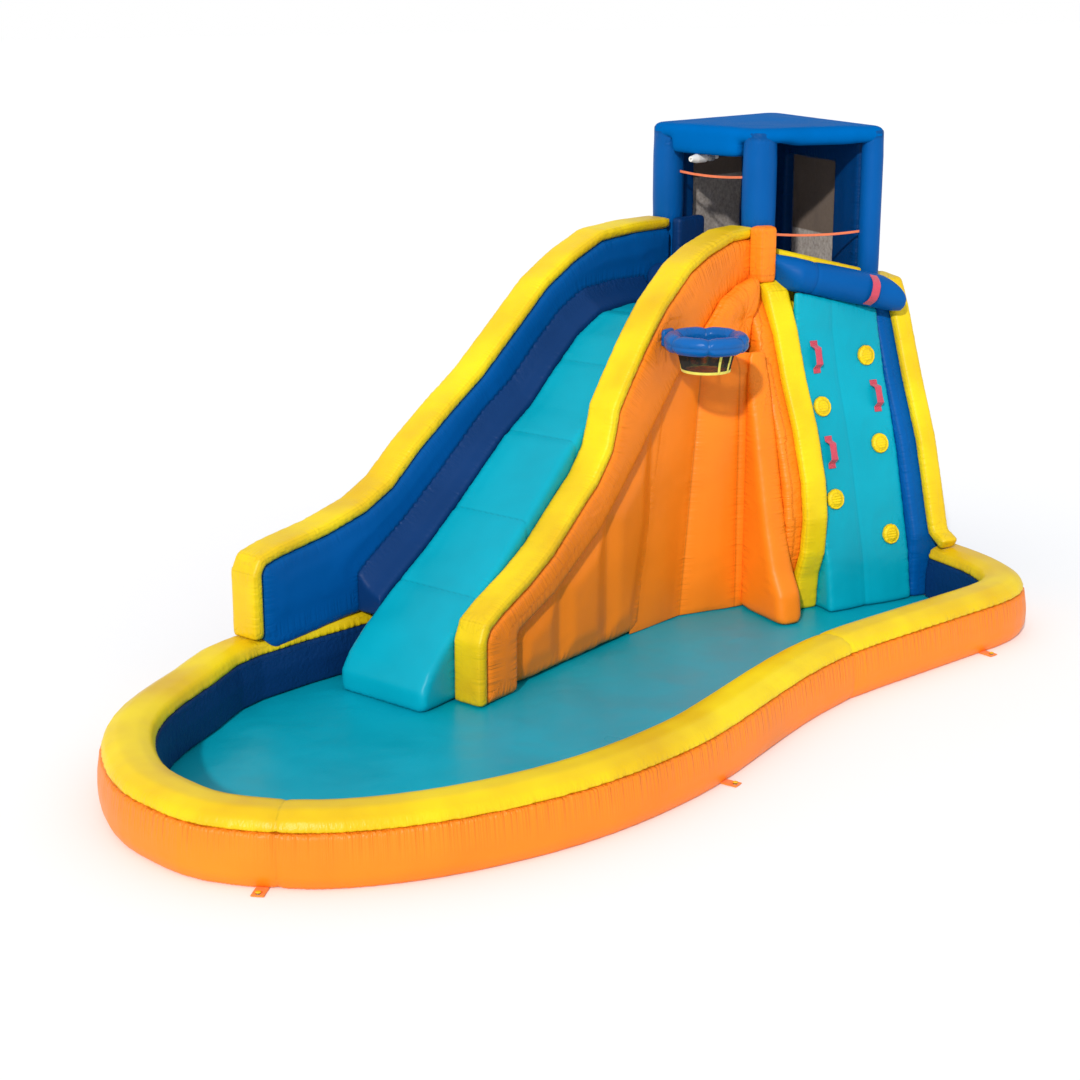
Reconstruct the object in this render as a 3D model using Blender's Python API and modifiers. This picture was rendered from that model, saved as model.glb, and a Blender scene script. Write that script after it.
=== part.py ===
"""Inflatable water slide with a splash pool, a curved slide, a climbing wall and a roofed tower.

Metres, +Z up. +X runs along the pool's long axis, and the origin is the middle of the footprint
on the ground. Plan places are given from that origin.
"""

import math

import bmesh
import bpy
from mathutils import Matrix, Vector

GAP = 0.0003              # clearance between touching pieces
WELD = 0.0001             # points this close become one

# Overall sizes
SLIDE_TOP = 1.95          # crown of the slide's side rails at the tower
WALL_HEIGHT = 0.29        # pool wall
SEAM_HEIGHT = 0.2204      # seam under the pool wall's upper band
WALL_WIDTH = 0.24
FLOOR_THICK = 0.012       # pool floor sheet
FLOOR_GAP = 0.004         # between the sheet and the pool wall
DECK_HEIGHT = 1.42        # tower floor
ROOF_TOP = 2.44
ROOF_THICK = 0.07
HALF_LENGTH = 2.48        # half of the footprint along X
HALF_DEPTH = 1.86         # half of the footprint along Y

# Tower corners in plan, as shares of the half length and the half depth
LEFT_CORNER_SHARES = (0.520, 0.704)
FRONT_CORNER_SHARES = (0.601, 0.312)
RIGHT_CORNER_SHARES = (0.895, 0.237)
BACK_CORNER_SHARES = (0.948, 0.892)
POST_RADII = (0.080, 0.085, 0.055, 0.085)     # left, front, right and back posts
TOWER_WALL = 0.10

# Slide
LEFT_HEADING = math.radians(18.5)     # below -X, seen from above
RIGHT_HEADING = math.radians(24.5)
RAIL_WIDTH = 0.17
BAND_THICK = 0.055
BAND_EDGE = 0.018         # rounding of the rails' bands
PANEL_EDGE = 0.026        # rounding of the rails' sides
LEFT_RAIL_LENGTH = 2.94
RIGHT_RAIL_LENGTH = 2.30
LANE_LENGTH = 2.55
BODY_LENGTH = 2.05
BODY_INSET = 0.05
FOLLOW_STEPS = 6          # rounds that settle a point on both its side line and the tower's face
LANE_WIDTH = 0.40         # width that the lane and the body are drawn at
GUTTER_WIDTH = 0.10
GUTTER_SPREAD = 0.020     # how much wider the gutter gets for each metre
GUTTER_RISE = 0.12
GUTTER_SHARE = 0.4        # of the rise, at the gutter's middle
GUTTER_LIP = 0.015
LANE_EDGE = 0.02

# Climbing wall
CLIMB_LEFT = 1.63                     # X of the wall's left edge
CLIMB_RIGHT = 2.16                   # X of the wall's right edge
CLIMB_BAND_WIDTH = 0.14
CLIMB_REACH = 0.58                    # how far the wall's foot stands out from the tower
CLIMB_BACK = 0.152                    # where the wall starts out from the tower's front corner
CLIMB_EDGE = 0.012                    # rounding of the wall
CLIMB_LIFT_FROM = 1.42                # height from which the wall's upper edge is lifted
BAR_END = 0.002
CLIMB_START = 0.034                   # how far the left rail starts out from the tower
CLIMB_TOP = 1.46
FOOTHOLD_RADIUS = 0.053
FOOTHOLD_RISE = 0.022
COLUMN_LEFT_SHARE = 0.17  # footholds' and handles' places across the wall
COLUMN_RIGHT_SHARE = 0.79
CLIMB_TUBE_WIDTH = 0.08   # orange tube beside the left band
CLIMB_FACE_WIDTH = 0.09   # blue face beside the right band
CLIMB_OUTER_WIDTH = 0.11
CLIMB_SIDE_WIDTH = 0.13
CLIMB_BAR_RADIUS = 0.085
CLIMB_BAR_HEIGHT = 1.715
CLIMB_BAR_OUT = 0.12
CLIMB_BAR_SKEW = 0.10
BAR_INSET = 0.004
BAR_DROP = 0.12
BAR_PLACE = 0.10          # slide's top bar, along the slide
BAR_RADIUS = 0.085
END_PAD_LENGTH = 0.22
END_PAD_THICK = 0.06
BLOCK_LAP = 0.05          # orange block at the right rail's upper end
BLOCK_WIDTH = 0.09
BLOCK_EDGE = 0.015
BLOCK_THICK = 0.075
BLOCK_LOW = 1.705
BLOCK_TOP = 1.96

# Gathered corner
CURTAIN_FAR = 1.00        # along the slide's right side, at the foot and at the top
CURTAIN_FAR_TOP = 0.70
CURTAIN_BEND = 0.62
CURTAIN_BEND_TOP = 0.45
CURTAIN_FOLD = 0.03
CURTAIN_DEPTH = 0.25
CURTAIN_TOP = 1.25
ARCH_OUT = 0.065
ARCH_EDGE = 0.028

# Webbing handles
HANDLE_LENGTH = 0.17
HANDLE_WIDTH = 0.045
HANDLE_RISE = 0.032
HANDLE_THICK = 0.004
HANDLE_SHIFT = 0.02
HANDLE_ANGLE = math.radians(62.0)     # how far the bar straps reach up and down the bar
HANDLE_LIFT = 0.028
HANDLE_STEPS = 10
HANDLE_PLACE_SHARE = 2.2              # from the bar's end, in strap widths
HANDLE_FLAT_SHARE = 0.16              # sewn end, of the strap's length
HANDLE_RAMP_SHARE = 0.10

# Tower fittings
POST_INSET = 0.002         # how far a post stands in from the tower's faces
WINDOW_SILL = 1.56
WINDOW_HEAD = 2.24
NET_TAPE = 0.012
NET_CORD = 0.005
NET_THICK = 0.002
NET_COLUMNS = 6
NET_ROWS = 8
BEAM_DEEP = 0.075
BEAM_WIDTH = 0.15
TRIM_THICK = 0.05
TRIM_OUT = 0.055          # how far the sill stands out from the posts' middles
TRIM_RISE = 0.03
WALL_EDGE = 0.02          # rounding of the tower's walls
ROOF_EDGE = 0.034         # rounding of the roof and the tower's base
CORNER_STEPS = 4
RIGHT_WINDOW_SHARES = (0.29, 0.80)
LEFT_WINDOW_SHARES = (0.24, 0.78)
STRAP_LEFT_HEIGHT = 2.20
STRAP_RIGHT_HEIGHT = 1.91
STRAP_WIDTH = 0.022
STRAP_THICK = 0.003
STRAP_SAG = 0.012
STRAP_STEPS = 8
NOZZLE_SHARE = 0.44
NOZZLE_RADIUS = 0.024
NOZZLE_LENGTH = 0.110
NOZZLE_BACK = 0.080       # how far the nozzle starts behind the tower's face
NOZZLE_WAIST_SHARE = 0.6
NOZZLE_TIP = 0.014
NOZZLE_BORE = 0.006
STUB_RADIUS = 0.011
STUB_LENGTH = 0.10
NUT_RADIUS = 0.020
NUT_RIDGE = 0.002
NUT_LOBES = 12
NUT_LENGTH = 0.030

# Basketball hoop
HOOP_ALONG = 0.83
HOOP_OUT = 0.235
HOOP_SLEEVE = 0.09
HOOP_SLEEVE_EDGE = 0.012
HOOP_NET_ANGLE = math.radians(60.0)   # where the net meets the tube, below its inner side
HOOP_NET_LOW = 0.115
HOOP_NET_WALL = 0.004
HOOP_NET_DROP = 0.10
HOOP_RADIUS = 0.165
HOOP_TUBE = 0.042
HOOP_HEIGHT = 1.50

# Blower
BLOWER_PLACE = 0.55       # along the slide's left side
BLOWER_RADIUS = 0.15
BLOWER_WIDTH = 0.20
BLOWER_WALL = 0.006
BLOWER_FOOT = 0.03
BLOWER_FOOT_SHARE = 0.8   # half of the foot's spread, of the housing's radius
BLOWER_DUCT = 0.06
SLEEVE_RADIUS = 0.075
SLEEVE_END = 0.37
MOTOR_LENGTH = 0.070
MOTOR_RADIUS = 0.060
AXLE_RADIUS = 0.010
IMPELLER_RADIUS = 0.115
IMPELLER_WIDTH = 0.12
IMPELLER_BLADES = 12
HUB_RADIUS = 0.035
BLADE_THICK = 0.006
GRILLE_THICK = 0.005
GRILLE_RINGS = 3
GRILLE_SLOTS = 8
GRILLE_START_SHARE = 0.30
GRILLE_BAR = 0.007
SWITCH_RADIUS = 0.018
SWITCH_RIDGE = 0.0015
SWITCH_LOBES = 8
SWITCH_RISE = 0.016

# Ground anchors
ANCHOR_SHARES = (0.33, 0.60, 0.80)
ANCHOR_LENGTH = 0.075
ANCHOR_WIDTH = 0.05
ANCHOR_THICK = 0.005

# Colours, as linear shares of red, green and blue
ORANGE = (0.90, 0.25, 0.02, 1.0)
YELLOW = (0.87, 0.69, 0.02, 1.0)
BLUE = (0.0, 0.13, 0.48, 1.0)
ROYAL = (0.012, 0.07, 0.35, 1.0)
TEAL = (0.0, 0.45, 0.63, 1.0)
PINK = (0.57, 0.06, 0.10, 1.0)
GREY = (0.22, 0.19, 0.17, 1.0)
BLACK = (0.02, 0.02, 0.02, 1.0)
PALE = (0.80, 0.80, 0.78, 1.0)


def clear_scene():
    for obj in list(bpy.data.objects):
        bpy.data.objects.remove(obj, do_unlink=True)


def make_collection(name):
    made = bpy.data.collections.new(name)
    bpy.context.scene.collection.children.link(made)
    return made


def material(name, colour, roughness=0.4, metallic=0.0):
    made = bpy.data.materials.new(name)
    made.use_nodes = True
    shader = made.node_tree.nodes["Principled BSDF"]
    shader.inputs["Base Color"].default_value = colour
    shader.inputs["Roughness"].default_value = roughness
    shader.inputs["Metallic"].default_value = metallic
    return made


def plan(shares):
    """A place in plan from its shares of the half length and the half depth."""
    return Vector((shares[0] * HALF_LENGTH, shares[1] * HALF_DEPTH, 0.0))


def side_frame(origin, heading):
    """Local X runs along the heading, local Y up, local Z across to the left of the ramp's climb."""
    along = Vector((-math.cos(heading), -math.sin(heading), 0.0))
    up = Vector((0.0, 0.0, 1.0))
    across = along.cross(up)
    frame = Matrix((along, up, across)).transposed().to_4x4()
    frame.translation = origin
    return frame


def give(obj, name, colour, roughness=0.4, metallic=0.0):
    obj.name = name
    obj.data.name = name
    obj.data.materials.clear()
    obj.data.materials.append(material(name, colour, roughness, metallic))
    return obj


def curve_object(name, points, closed, home):
    data = bpy.data.curves.new(name, "CURVE")
    data.dimensions = "2D"
    spline = data.splines.new("POLY")
    spline.points.add(len(points) - 1)
    for point, place in zip(spline.points, points):
        point.co = (place[0], place[1], 0.0, 1.0)
    spline.use_cyclic_u = closed
    obj = bpy.data.objects.new(name, data)
    home.objects.link(obj)
    return obj


def slab(name, outline, near, far, frame, edge, colour, home, steps=1):
    """A closed outline extruded from near to far along the frame's Z, with rounded edges."""
    obj = curve_object(name, outline, True, home)
    data = obj.data
    data.fill_mode = "BOTH"
    data.extrude = (far - near) / 2 - edge
    data.bevel_depth = edge
    data.bevel_resolution = steps
    data.offset = -edge
    obj.matrix_world = frame @ Matrix.Translation((0.0, 0.0, (near + far) / 2))
    return give(obj, name, colour)


def to_mesh(obj):
    """The same shape as a mesh object with its caps welded."""
    bpy.context.view_layer.update()
    graph = bpy.context.evaluated_depsgraph_get()
    mesh = bpy.data.meshes.new_from_object(obj.evaluated_get(graph))
    work = bmesh.new()
    work.from_mesh(mesh)
    bmesh.ops.remove_doubles(work, verts=work.verts, dist=WELD)
    bmesh.ops.recalc_face_normals(work, faces=work.faces)
    work.to_mesh(mesh)
    work.free()
    name = obj.name
    made = bpy.data.objects.new(name, mesh)
    made.matrix_world = obj.matrix_world
    home = obj.users_collection[0]
    bpy.data.objects.remove(obj, do_unlink=True)
    home.objects.link(made)
    made.name = name
    made.data.name = name
    return made


def boolean(obj, cutter, operation="DIFFERENCE"):
    modifier = obj.modifiers.new(operation.title(), "BOOLEAN")
    modifier.operation = operation
    modifier.object = cutter
    return obj


def as_cutter(obj, cutters):
    for home in list(obj.users_collection):
        home.objects.unlink(obj)
    cutters.objects.link(obj)
    obj.hide_render = True
    obj.display_type = "WIRE"
    return obj


def between(values, place):
    """The height of a polyline of (along, height) at a place along it."""
    for (start, low), (end, high) in zip(values, values[1:]):
        if place <= end:
            return low + (high - low) * (place - start) / (end - start)
    return values[-1][1]


def from_place(path, place):
    """The part of a path that lies beyond a place along it."""
    kept = [point for point in path if point[0] > place + 2 * PANEL_EDGE]
    return [(place, between(path, place))] + kept


def scaled(shares, length, height):
    return [(a * length, b * height) for a, b in shares]


def inward(path, distance):
    """The path moved square to itself, to the right of its run."""
    moved = []
    for i, (a, b) in enumerate(path):
        before = Vector(path[max(i - 1, 0)])
        after = Vector(path[min(i + 1, len(path) - 1)])
        run = (after - before).normalized()
        moved.append((a + run.y * distance, b - run.x * distance))
    return moved


def smooth_path(places, steps):
    """Points of a smooth curve through the places."""
    found = []
    count = len(places)
    for i in range(count - 1):
        p0 = Vector(places[max(i - 1, 0)])
        p1 = Vector(places[i])
        p2 = Vector(places[i + 1])
        p3 = Vector(places[min(i + 2, count - 1)])
        for step in range(steps):
            t = step / steps
            a = 2 * p1 + (p2 - p0) * t
            b = (2 * p0 - 5 * p1 + 4 * p2 - p3) * t * t
            c = (3 * p1 - p0 - 3 * p2 + p3) * t * t * t
            found.append(tuple((a + b + c) / 2))
    found.append(tuple(places[-1]))
    return found


def sweep(name, path, profile, closed, colour, home, lift=0.0):
    """A closed profile carried along a level path. The profile's X is square to the path."""
    section = curve_object(name + "_profile", profile, True, home)
    obj = curve_object(name, path, closed, home)
    obj.data.bevel_mode = "OBJECT"
    obj.data.bevel_object = section
    obj.data.use_fill_caps = not closed
    obj.location.z = lift
    give(obj, name, colour)
    made = to_mesh(obj)
    bpy.data.objects.remove(section, do_unlink=True)
    return made


def round_bar(name, start, end, radius, colour, home, sides=20, edge=0.0, roughness=0.4, metallic=0.0):
    """A cylinder from start to end, with rounded rims."""
    start = Vector(start)
    end = Vector(end)
    run = end - start
    bpy.ops.mesh.primitive_cylinder_add(vertices=sides, radius=radius, depth=run.length)
    obj = bpy.context.object
    turn = run.to_track_quat("Z", "Y").to_matrix().to_4x4()
    obj.matrix_world = Matrix.Translation((start + end) / 2) @ turn
    for other in list(obj.users_collection):
        other.objects.unlink(obj)
    home.objects.link(obj)
    obj.data.shade_smooth()
    obj.data.set_sharp_from_angle(angle=math.radians(40))
    if edge > 0:
        bevel = obj.modifiers.new("Rounded rims", "BEVEL")
        bevel.width = edge
        bevel.segments = 2
        bevel.limit_method = "ANGLE"
        bevel.angle_limit = math.radians(50)
    return give(obj, name, colour, roughness, metallic)


def box(name, low, high, frame, colour, home, edge=0.0, steps=2, roughness=0.4, metallic=0.0):
    """A box between two corners given in the frame, with rounded edges."""
    bpy.ops.mesh.primitive_cube_add(size=1.0)
    obj = bpy.context.object
    low = Vector(low)
    high = Vector(high)
    for vertex in obj.data.vertices:
        vertex.co = [(low[i] + high[i]) / 2 + vertex.co[i] * (high[i] - low[i]) for i in range(3)]
    obj.matrix_world = frame
    for other in list(obj.users_collection):
        other.objects.unlink(obj)
    home.objects.link(obj)
    if edge > 0:
        bevel = obj.modifiers.new("Rounded edges", "BEVEL")
        bevel.width = edge
        bevel.segments = steps
    return give(obj, name, colour, roughness, metallic)


# Pool

POOL_WALL_SHARES = (
    (-0.245, 0.315), (-0.593, 0.177), (-0.730, 0.030), (-0.855, -0.129), (-0.923, -0.285),
    (-0.952, -0.478), (-0.935, -0.618), (-0.895, -0.737), (-0.802, -0.844), (-0.702, -0.903),
    (-0.569, -0.935), (-0.419, -0.935), (-0.274, -0.903), (-0.125, -0.839), (-0.016, -0.769),
    (0.214, -0.602), (0.383, -0.511), (0.556, -0.457), (0.718, -0.411), (0.851, -0.368),
    (0.915, -0.306), (0.944, -0.210), (0.952, -0.118), (0.952, -0.005),
)


# Profiles, in half widths of the wall and in shares of the piece's own height
POOL_SIDE_SHARES = ((0.78, 0.0), (0.98, 0.22), (1.0, 0.55), (0.90, 1.0), (-0.80, 1.0), (-0.80, 0.0))
POOL_TOP_SHARES = ((0.90, 0.0), (0.72, 0.62), (0.30, 1.0), (-0.34, 1.0), (-0.80, 0.72), (-0.96, 0.0))
POOL_LINER_SHARES = ((-0.80, 0.0), (-0.80, 1.0), (-0.96, 1.0), (-1.06, 0.57), (-1.02, 0.0))


def pool_path(steps=3):
    return smooth_path([tuple(plan(shares)[:2]) for shares in POOL_WALL_SHARES], steps)


def make_pool(home, cutters):
    """The wall's side, its seamed upper band and its inner skin, each one profile along the path."""
    path = pool_path()
    half = WALL_WIDTH / 2
    foot = FLOOR_THICK + GAP
    # A profile's X is square to the path, and the pool lies on its negative side
    side = scaled(POOL_SIDE_SHARES, half, SEAM_HEIGHT - GAP)
    wall = sweep("pool_wall", path, side, False, ORANGE, home)
    top = [(a, b + SEAM_HEIGHT) for a, b in scaled(POOL_TOP_SHARES, half, WALL_HEIGHT - SEAM_HEIGHT)]
    band = sweep("pool_wall_top", path, top, False, YELLOW, home)
    liner = scaled(POOL_LINER_SHARES, half, SEAM_HEIGHT - GAP - foot)
    liner = [(a - GAP, b + foot) for a, b in liner]
    skin = sweep("pool_liner", path, liner, False, BLUE, home)
    # The wall's near end is cut along the end of the slide's body
    low = (0.0, -WALL_HEIGHT, LANE_WIDTH / 4)
    high = (BODY_LENGTH + GAP, 2 * WALL_HEIGHT, 2 * LANE_WIDTH)
    for piece in (wall, band, skin):
        cutter = box("pool_end_" + piece.name, low, high, slide_frames()[2], BLUE, cutters)
        boolean(piece, as_cutter(cutter, cutters))


def make_floor(home):
    """One sheet under the pool, the slide and the tower, inside the pool wall."""
    edge = inward(pool_path(), POOL_LINER_SHARES[0][0] * WALL_WIDTH / 2 - FLOOR_GAP)
    corners = [plan(shares) for shares in (RIGHT_CORNER_SHARES, BACK_CORNER_SHARES, LEFT_CORNER_SHARES)]
    outline = edge + [(corner.x, corner.y) for corner in corners]
    slab("pool_floor", outline, 0.0, FLOOR_THICK, Matrix.Identity(4), 0.0, TEAL, home, 0)


# Slide

LEFT_RAIL_SHARES = (
    (-0.020, 1.000), (0.045, 1.000), (0.10, 1.000), (0.194, 0.990), (0.272, 0.944),
    (0.344, 0.885), (0.420, 0.790),
    (0.507, 0.684), (0.578, 0.615), (0.653, 0.536), (0.715, 0.458), (0.770, 0.418), (0.850, 0.388),
    (0.946, 0.366), (0.985, 0.350), (1.000, 0.312), (1.000, 0.152),
)
RIGHT_RAIL_SHARES = (
    (-0.060, 1.000), (0.025, 1.000), (0.090, 1.000), (0.195, 0.972), (0.270, 0.938),
    (0.370, 0.856), (0.440, 0.774),
    (0.508, 0.680), (0.545, 0.624), (0.556, 0.575), (0.570, 0.527), (0.617, 0.465), (0.665, 0.425),
    (0.770, 0.330), (0.845, 0.282), (0.930, 0.240), (0.982, 0.206), (1.000, 0.160), (1.000, 0.0065),
)
BED_SHARES = (
    (-0.060, 0.728), (0.293, 0.728), (0.351, 0.659), (0.515, 0.487), (0.590, 0.410),
    (0.676, 0.328), (0.859, 0.210), (1.0, 0.1515),
)
LANE_SHARES = (
    (-0.048, 0.793), (0.18, 0.800), (0.27, 0.790), (0.34, 0.745), (0.41, 0.672), (0.48, 0.590),
    (0.56, 0.525), (0.68, 0.395), (0.775, 0.298), (0.865, 0.220), (0.935, 0.150), (0.980, 0.095),
    (1.0, 0.055),
)
GUTTER_SHARES = (0.077, 0.18, 0.27, 0.34, 0.41, 0.48, 0.56, 0.68, 0.775, 0.865, 0.895)


def slide_frames():
    left = side_frame(plan(LEFT_CORNER_SHARES), LEFT_HEADING)
    right = side_frame(plan(FRONT_CORNER_SHARES), RIGHT_HEADING)
    middle_place = (plan(LEFT_CORNER_SHARES) + plan(FRONT_CORNER_SHARES)) / 2
    middle = side_frame(middle_place, (LEFT_HEADING + RIGHT_HEADING) / 2)
    return left, right, middle


def side_line(side, place):
    """In the slide's frame, the line (start, slope) that keeps a place across in a side frame."""
    back = side.inverted() @ slide_frames()[2]
    start = (back @ Vector((0.0, 0.0, 0.0))).z
    along = (back @ Vector((1.0, 0.0, 0.0))).z - start
    across = (back @ Vector((0.0, 0.0, 1.0))).z - start
    return (place - start) / across, -along / across


def at(line, place):
    return line[0] + line[1] * place


def entrance_line():
    """In the slide's frame, how far along the tower's face lies for each place across."""
    middle = slide_frames()[2]
    left = middle.inverted() @ plan(LEFT_CORNER_SHARES)
    front = middle.inverted() @ plan(FRONT_CORNER_SHARES)
    slope = (left.x - front.x) / (left.z - front.z)
    return left.x - slope * left.z + GAP, slope


def follow(obj, low, high, width):
    """Lays a solid made square to the slide between two lines of the slide's frame."""
    middle = (obj.matrix_world.inverted() @ slide_frames()[2]).inverted().translation.z
    face = entrance_line()
    for vertex in obj.data.vertices:
        share = (vertex.co.z + middle) / width
        x, across = vertex.co.x, 0.0
        for again in range(FOLLOW_STEPS):
            across = at(low, x) + (at(high, x) - at(low, x)) * share
            x = max(vertex.co.x, at(face, across))
        vertex.co = (x, vertex.co.y, across - middle)
    return obj


def slide_slab(name, outline, low, high, width, edge, colour, home):
    """A side view of the slide, carried across from one line to another."""
    middle = slide_frames()[2]
    obj = slab(name, outline, 0.0, width, middle, edge, colour, home)
    return follow(to_mesh(obj), low, high, width)


def loft(name, sections, frame, colour, home):
    """A closed body through sections with the same number of points."""
    count = len(sections[0])
    work = bmesh.new()
    rings = [[work.verts.new(point) for point in section] for section in sections]
    for one, two in zip(rings, rings[1:]):
        for i in range(count):
            j = (i + 1) % count
            work.faces.new((one[i], one[j], two[j], two[i]))
    work.faces.new(rings[0][::-1])
    work.faces.new(rings[-1])
    bmesh.ops.recalc_face_normals(work, faces=work.faces)
    mesh = bpy.data.meshes.new(name)
    work.to_mesh(mesh)
    work.free()
    obj = bpy.data.objects.new(name, mesh)
    home.objects.link(obj)
    obj.matrix_world = frame
    return give(obj, name, colour)


def bed_line():
    """The line that the rails and the lane lie on."""
    return scaled(BED_SHARES, BODY_LENGTH, SLIDE_TOP)


def under_line():
    """The underside of what lies on the bed, from the tower to the bed's end."""
    line = [(a, b + GAP) for a, b in bed_line()]
    line[-1] = (BODY_LENGTH + GAP, line[-1][1])
    return line


def band_outline(top):
    return top + inward(top, BAND_THICK)[::-1]


def rail_top(shares, length, corner):
    """A rail's crown, given from its own corner, in the slide's frame."""
    shift = (slide_frames()[2].inverted() @ plan(corner)).x
    return [(a + shift, b) for a, b in scaled(shares, length, SLIDE_TOP)]


def make_left_rail(home, frame):
    top = rail_top(LEFT_RAIL_SHARES, LEFT_RAIL_LENGTH, LEFT_CORNER_SHARES)
    low = side_line(frame, -RAIL_WIDTH)
    high = side_line(frame, 0.0)
    slide_slab("slide_rail_left_band", band_outline(top), low, high, RAIL_WIDTH, BAND_EDGE, YELLOW, home)
    inner = inward(top, BAND_THICK + GAP)
    bottom = under_line()
    bottom[-1] = (inner[-1][0], bottom[-1][1])
    slide_slab("slide_rail_left", inner + bottom[::-1], low, high, RAIL_WIDTH, PANEL_EDGE, BLUE, home)


def make_right_rail(home, frame):
    top = rail_top(RIGHT_RAIL_SHARES, RIGHT_RAIL_LENGTH, FRONT_CORNER_SHARES)
    low = side_line(frame, 0.0)
    high = side_line(frame, RAIL_WIDTH)
    slide_slab("slide_rail_right_band", band_outline(top), low, high, RAIL_WIDTH, BAND_EDGE, YELLOW, home)
    inner = inward(top, BAND_THICK + GAP)
    foot = FLOOR_THICK + GAP
    bottom = under_line() + [(BODY_LENGTH + GAP, foot), (inner[-1][0], foot)]
    inner[-1] = (inner[-1][0], inner[-1][1] + PANEL_EDGE)
    slide_slab("slide_rail_right", inner + bottom[::-1], low, high, RAIL_WIDTH, PANEL_EDGE, ORANGE, home)


def make_slide(home):
    left, right, middle = slide_frames()
    make_left_rail(home, left)
    make_right_rail(home, right)
    foot = FLOOR_THICK + GAP
    inner_right = side_line(right, RAIL_WIDTH + GAP)
    inner_left = side_line(left, -RAIL_WIDTH - GAP)
    gutter = (inner_left[0] - GUTTER_WIDTH, inner_left[1] - GUTTER_SPREAD)
    lane = scaled(LANE_SHARES, LANE_LENGTH, SLIDE_TOP)
    outline = lane + [(LANE_LENGTH, foot), (BODY_LENGTH + GAP, foot)] + under_line()[::-1]
    slide_slab("slide_lane", outline, inner_right, gutter, LANE_WIDTH, LANE_EDGE, TEAL, home)
    body = bed_line() + [(BODY_LENGTH, foot), (bed_line()[0][0], foot)]
    low = side_line(right, BODY_INSET)
    high = side_line(left, -BODY_INSET)
    slide_slab("slide_body", body, low, high, LANE_WIDTH, LANE_EDGE, ORANGE, home)
    bed = under_line() + [(LANE_LENGTH, under_line()[-1][1])]
    sections = []
    ends = (GUTTER_SHARES[0] * LANE_LENGTH, GUTTER_SHARES[-1] * LANE_LENGTH)
    places = {share * LANE_LENGTH for share in GUTTER_SHARES}
    places |= {a for a, b in bed if ends[0] < a < ends[1]}
    for place in sorted(places):
        top = between(lane, place)
        near = at(gutter, place) + GAP
        far = at(inner_left, place)
        base = between(bed, place)
        sections.append([
            (place, base, near), (place, base, far), (place, top + GUTTER_RISE, far),
            (place, top + GUTTER_RISE * GUTTER_SHARE, (near + far) / 2), (place, top + GUTTER_LIP, near),
        ])
    loft("slide_gutter", sections, middle, ROYAL, home)


def make_slide_ends(home, corners):
    """The round bar across the slide's top, and the pads at the upper ends of the rails."""
    left, right, middle = slide_frames()
    inner_right = side_line(right, RAIL_WIDTH + GAP)
    inner_left = side_line(left, -RAIL_WIDTH - GAP)
    height = bar_height()
    low = middle @ Vector((BAR_PLACE, height, at(inner_right, BAR_PLACE)))
    high = middle @ Vector((BAR_PLACE, height, at(inner_left, BAR_PLACE)))
    bar = round_bar("slide_top_bar", low, high, BAR_RADIUS, ROYAL, home, 32, BAR_RADIUS / 4)
    end_on(bar, middle, inner_right, inner_left)
    pad_low = (-END_PAD_LENGTH, DECK_HEIGHT + GAP, -RAIL_WIDTH - END_PAD_THICK)
    pad_high = (0.0, SLIDE_TOP, -RAIL_WIDTH)
    box("slide_pad_left", pad_low, pad_high, left, BLUE, home, END_PAD_THICK / 4)
    frame = wall_frame(corners[1], corners[2])
    places = [
        right @ Vector((BLOCK_LAP, 0.0, -2 * GAP)), right @ Vector((BLOCK_LAP, 0.0, -BLOCK_THICK)),
        frame @ Vector((BLOCK_WIDTH, 0.0, BLOCK_THICK)), frame @ Vector((BLOCK_WIDTH, 0.0, GAP)),
        frame @ Vector((2 * GAP, 0.0, 2 * GAP)),
    ]
    outline = [(place.x, place.y) for place in places]
    flat = Matrix.Identity(4)
    slab("slide_block_right", outline, BLOCK_LOW, BLOCK_TOP, flat, BLOCK_EDGE, ORANGE, home, 2)


def bar_height():
    """The slide's top bar rests on the lane's upper end."""
    lane = scaled(LANE_SHARES, LANE_LENGTH, SLIDE_TOP)
    return between(lane, BAR_PLACE + BAR_RADIUS / 2) + BAR_RADIUS + GAP


def make_corner(home):
    """The gathered cloth in the corner between the slide's side and the climb's side, and its arch."""
    left, right, middle = slide_frames()
    side_low = CLIMB_LEFT - CLIMB_BAND_WIDTH - CLIMB_TUBE_WIDTH - CLIMB_SIDE_WIDTH - 2 * GAP
    front = plan(FRONT_CORNER_SHARES)
    back = BODY_INSET - GAP
    far = right @ Vector((CURTAIN_FAR, 0.0, back))
    far_top = right @ Vector((CURTAIN_FAR_TOP, 0.0, back))
    bend = right @ Vector((CURTAIN_BEND, 0.0, BODY_INSET / 2))
    bend_top = right @ Vector((CURTAIN_BEND_TOP, 0.0, BODY_INSET / 2))
    limit = CLIMB_LEFT - CLIMB_BAND_WIDTH - CLIMB_TUBE_WIDTH - GAP
    near = right @ Vector(((front.x - limit) / math.cos(RIGHT_HEADING) + CURTAIN_FOLD, 0.0, back))
    near.x = limit
    ahead = front.y - CURTAIN_DEPTH
    rest = [Vector((side_low - CURTAIN_FOLD, ahead, 0.0)), Vector((limit, ahead, 0.0)), near]
    feet = [far, bend] + rest
    tops = [far_top, bend_top] + rest
    sections = [
        [(place.x, place.y, FLOOR_THICK + GAP) for place in feet],
        [(place.x, place.y, CURTAIN_TOP) for place in tops],
    ]
    loft("corner_curtain", sections, Matrix.Identity(4), ORANGE, home)
    arch = scaled(ARCH_SHARES, CURTAIN_FAR, SLIDE_TOP)
    obj = to_mesh(slab("corner_arch", arch, -ARCH_OUT, -GAP, right, ARCH_EDGE, ORANGE, home, 2))
    # The arch's upper end stops at the side of the climb's left rail
    run = (right.to_3x3() @ Vector((1.0, 0.0, 0.0))).x
    for vertex in obj.data.vertices:
        over = (obj.matrix_world @ vertex.co).x - limit
        if over > 0:
            vertex.co.x -= over / run


# Climbing wall

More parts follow.
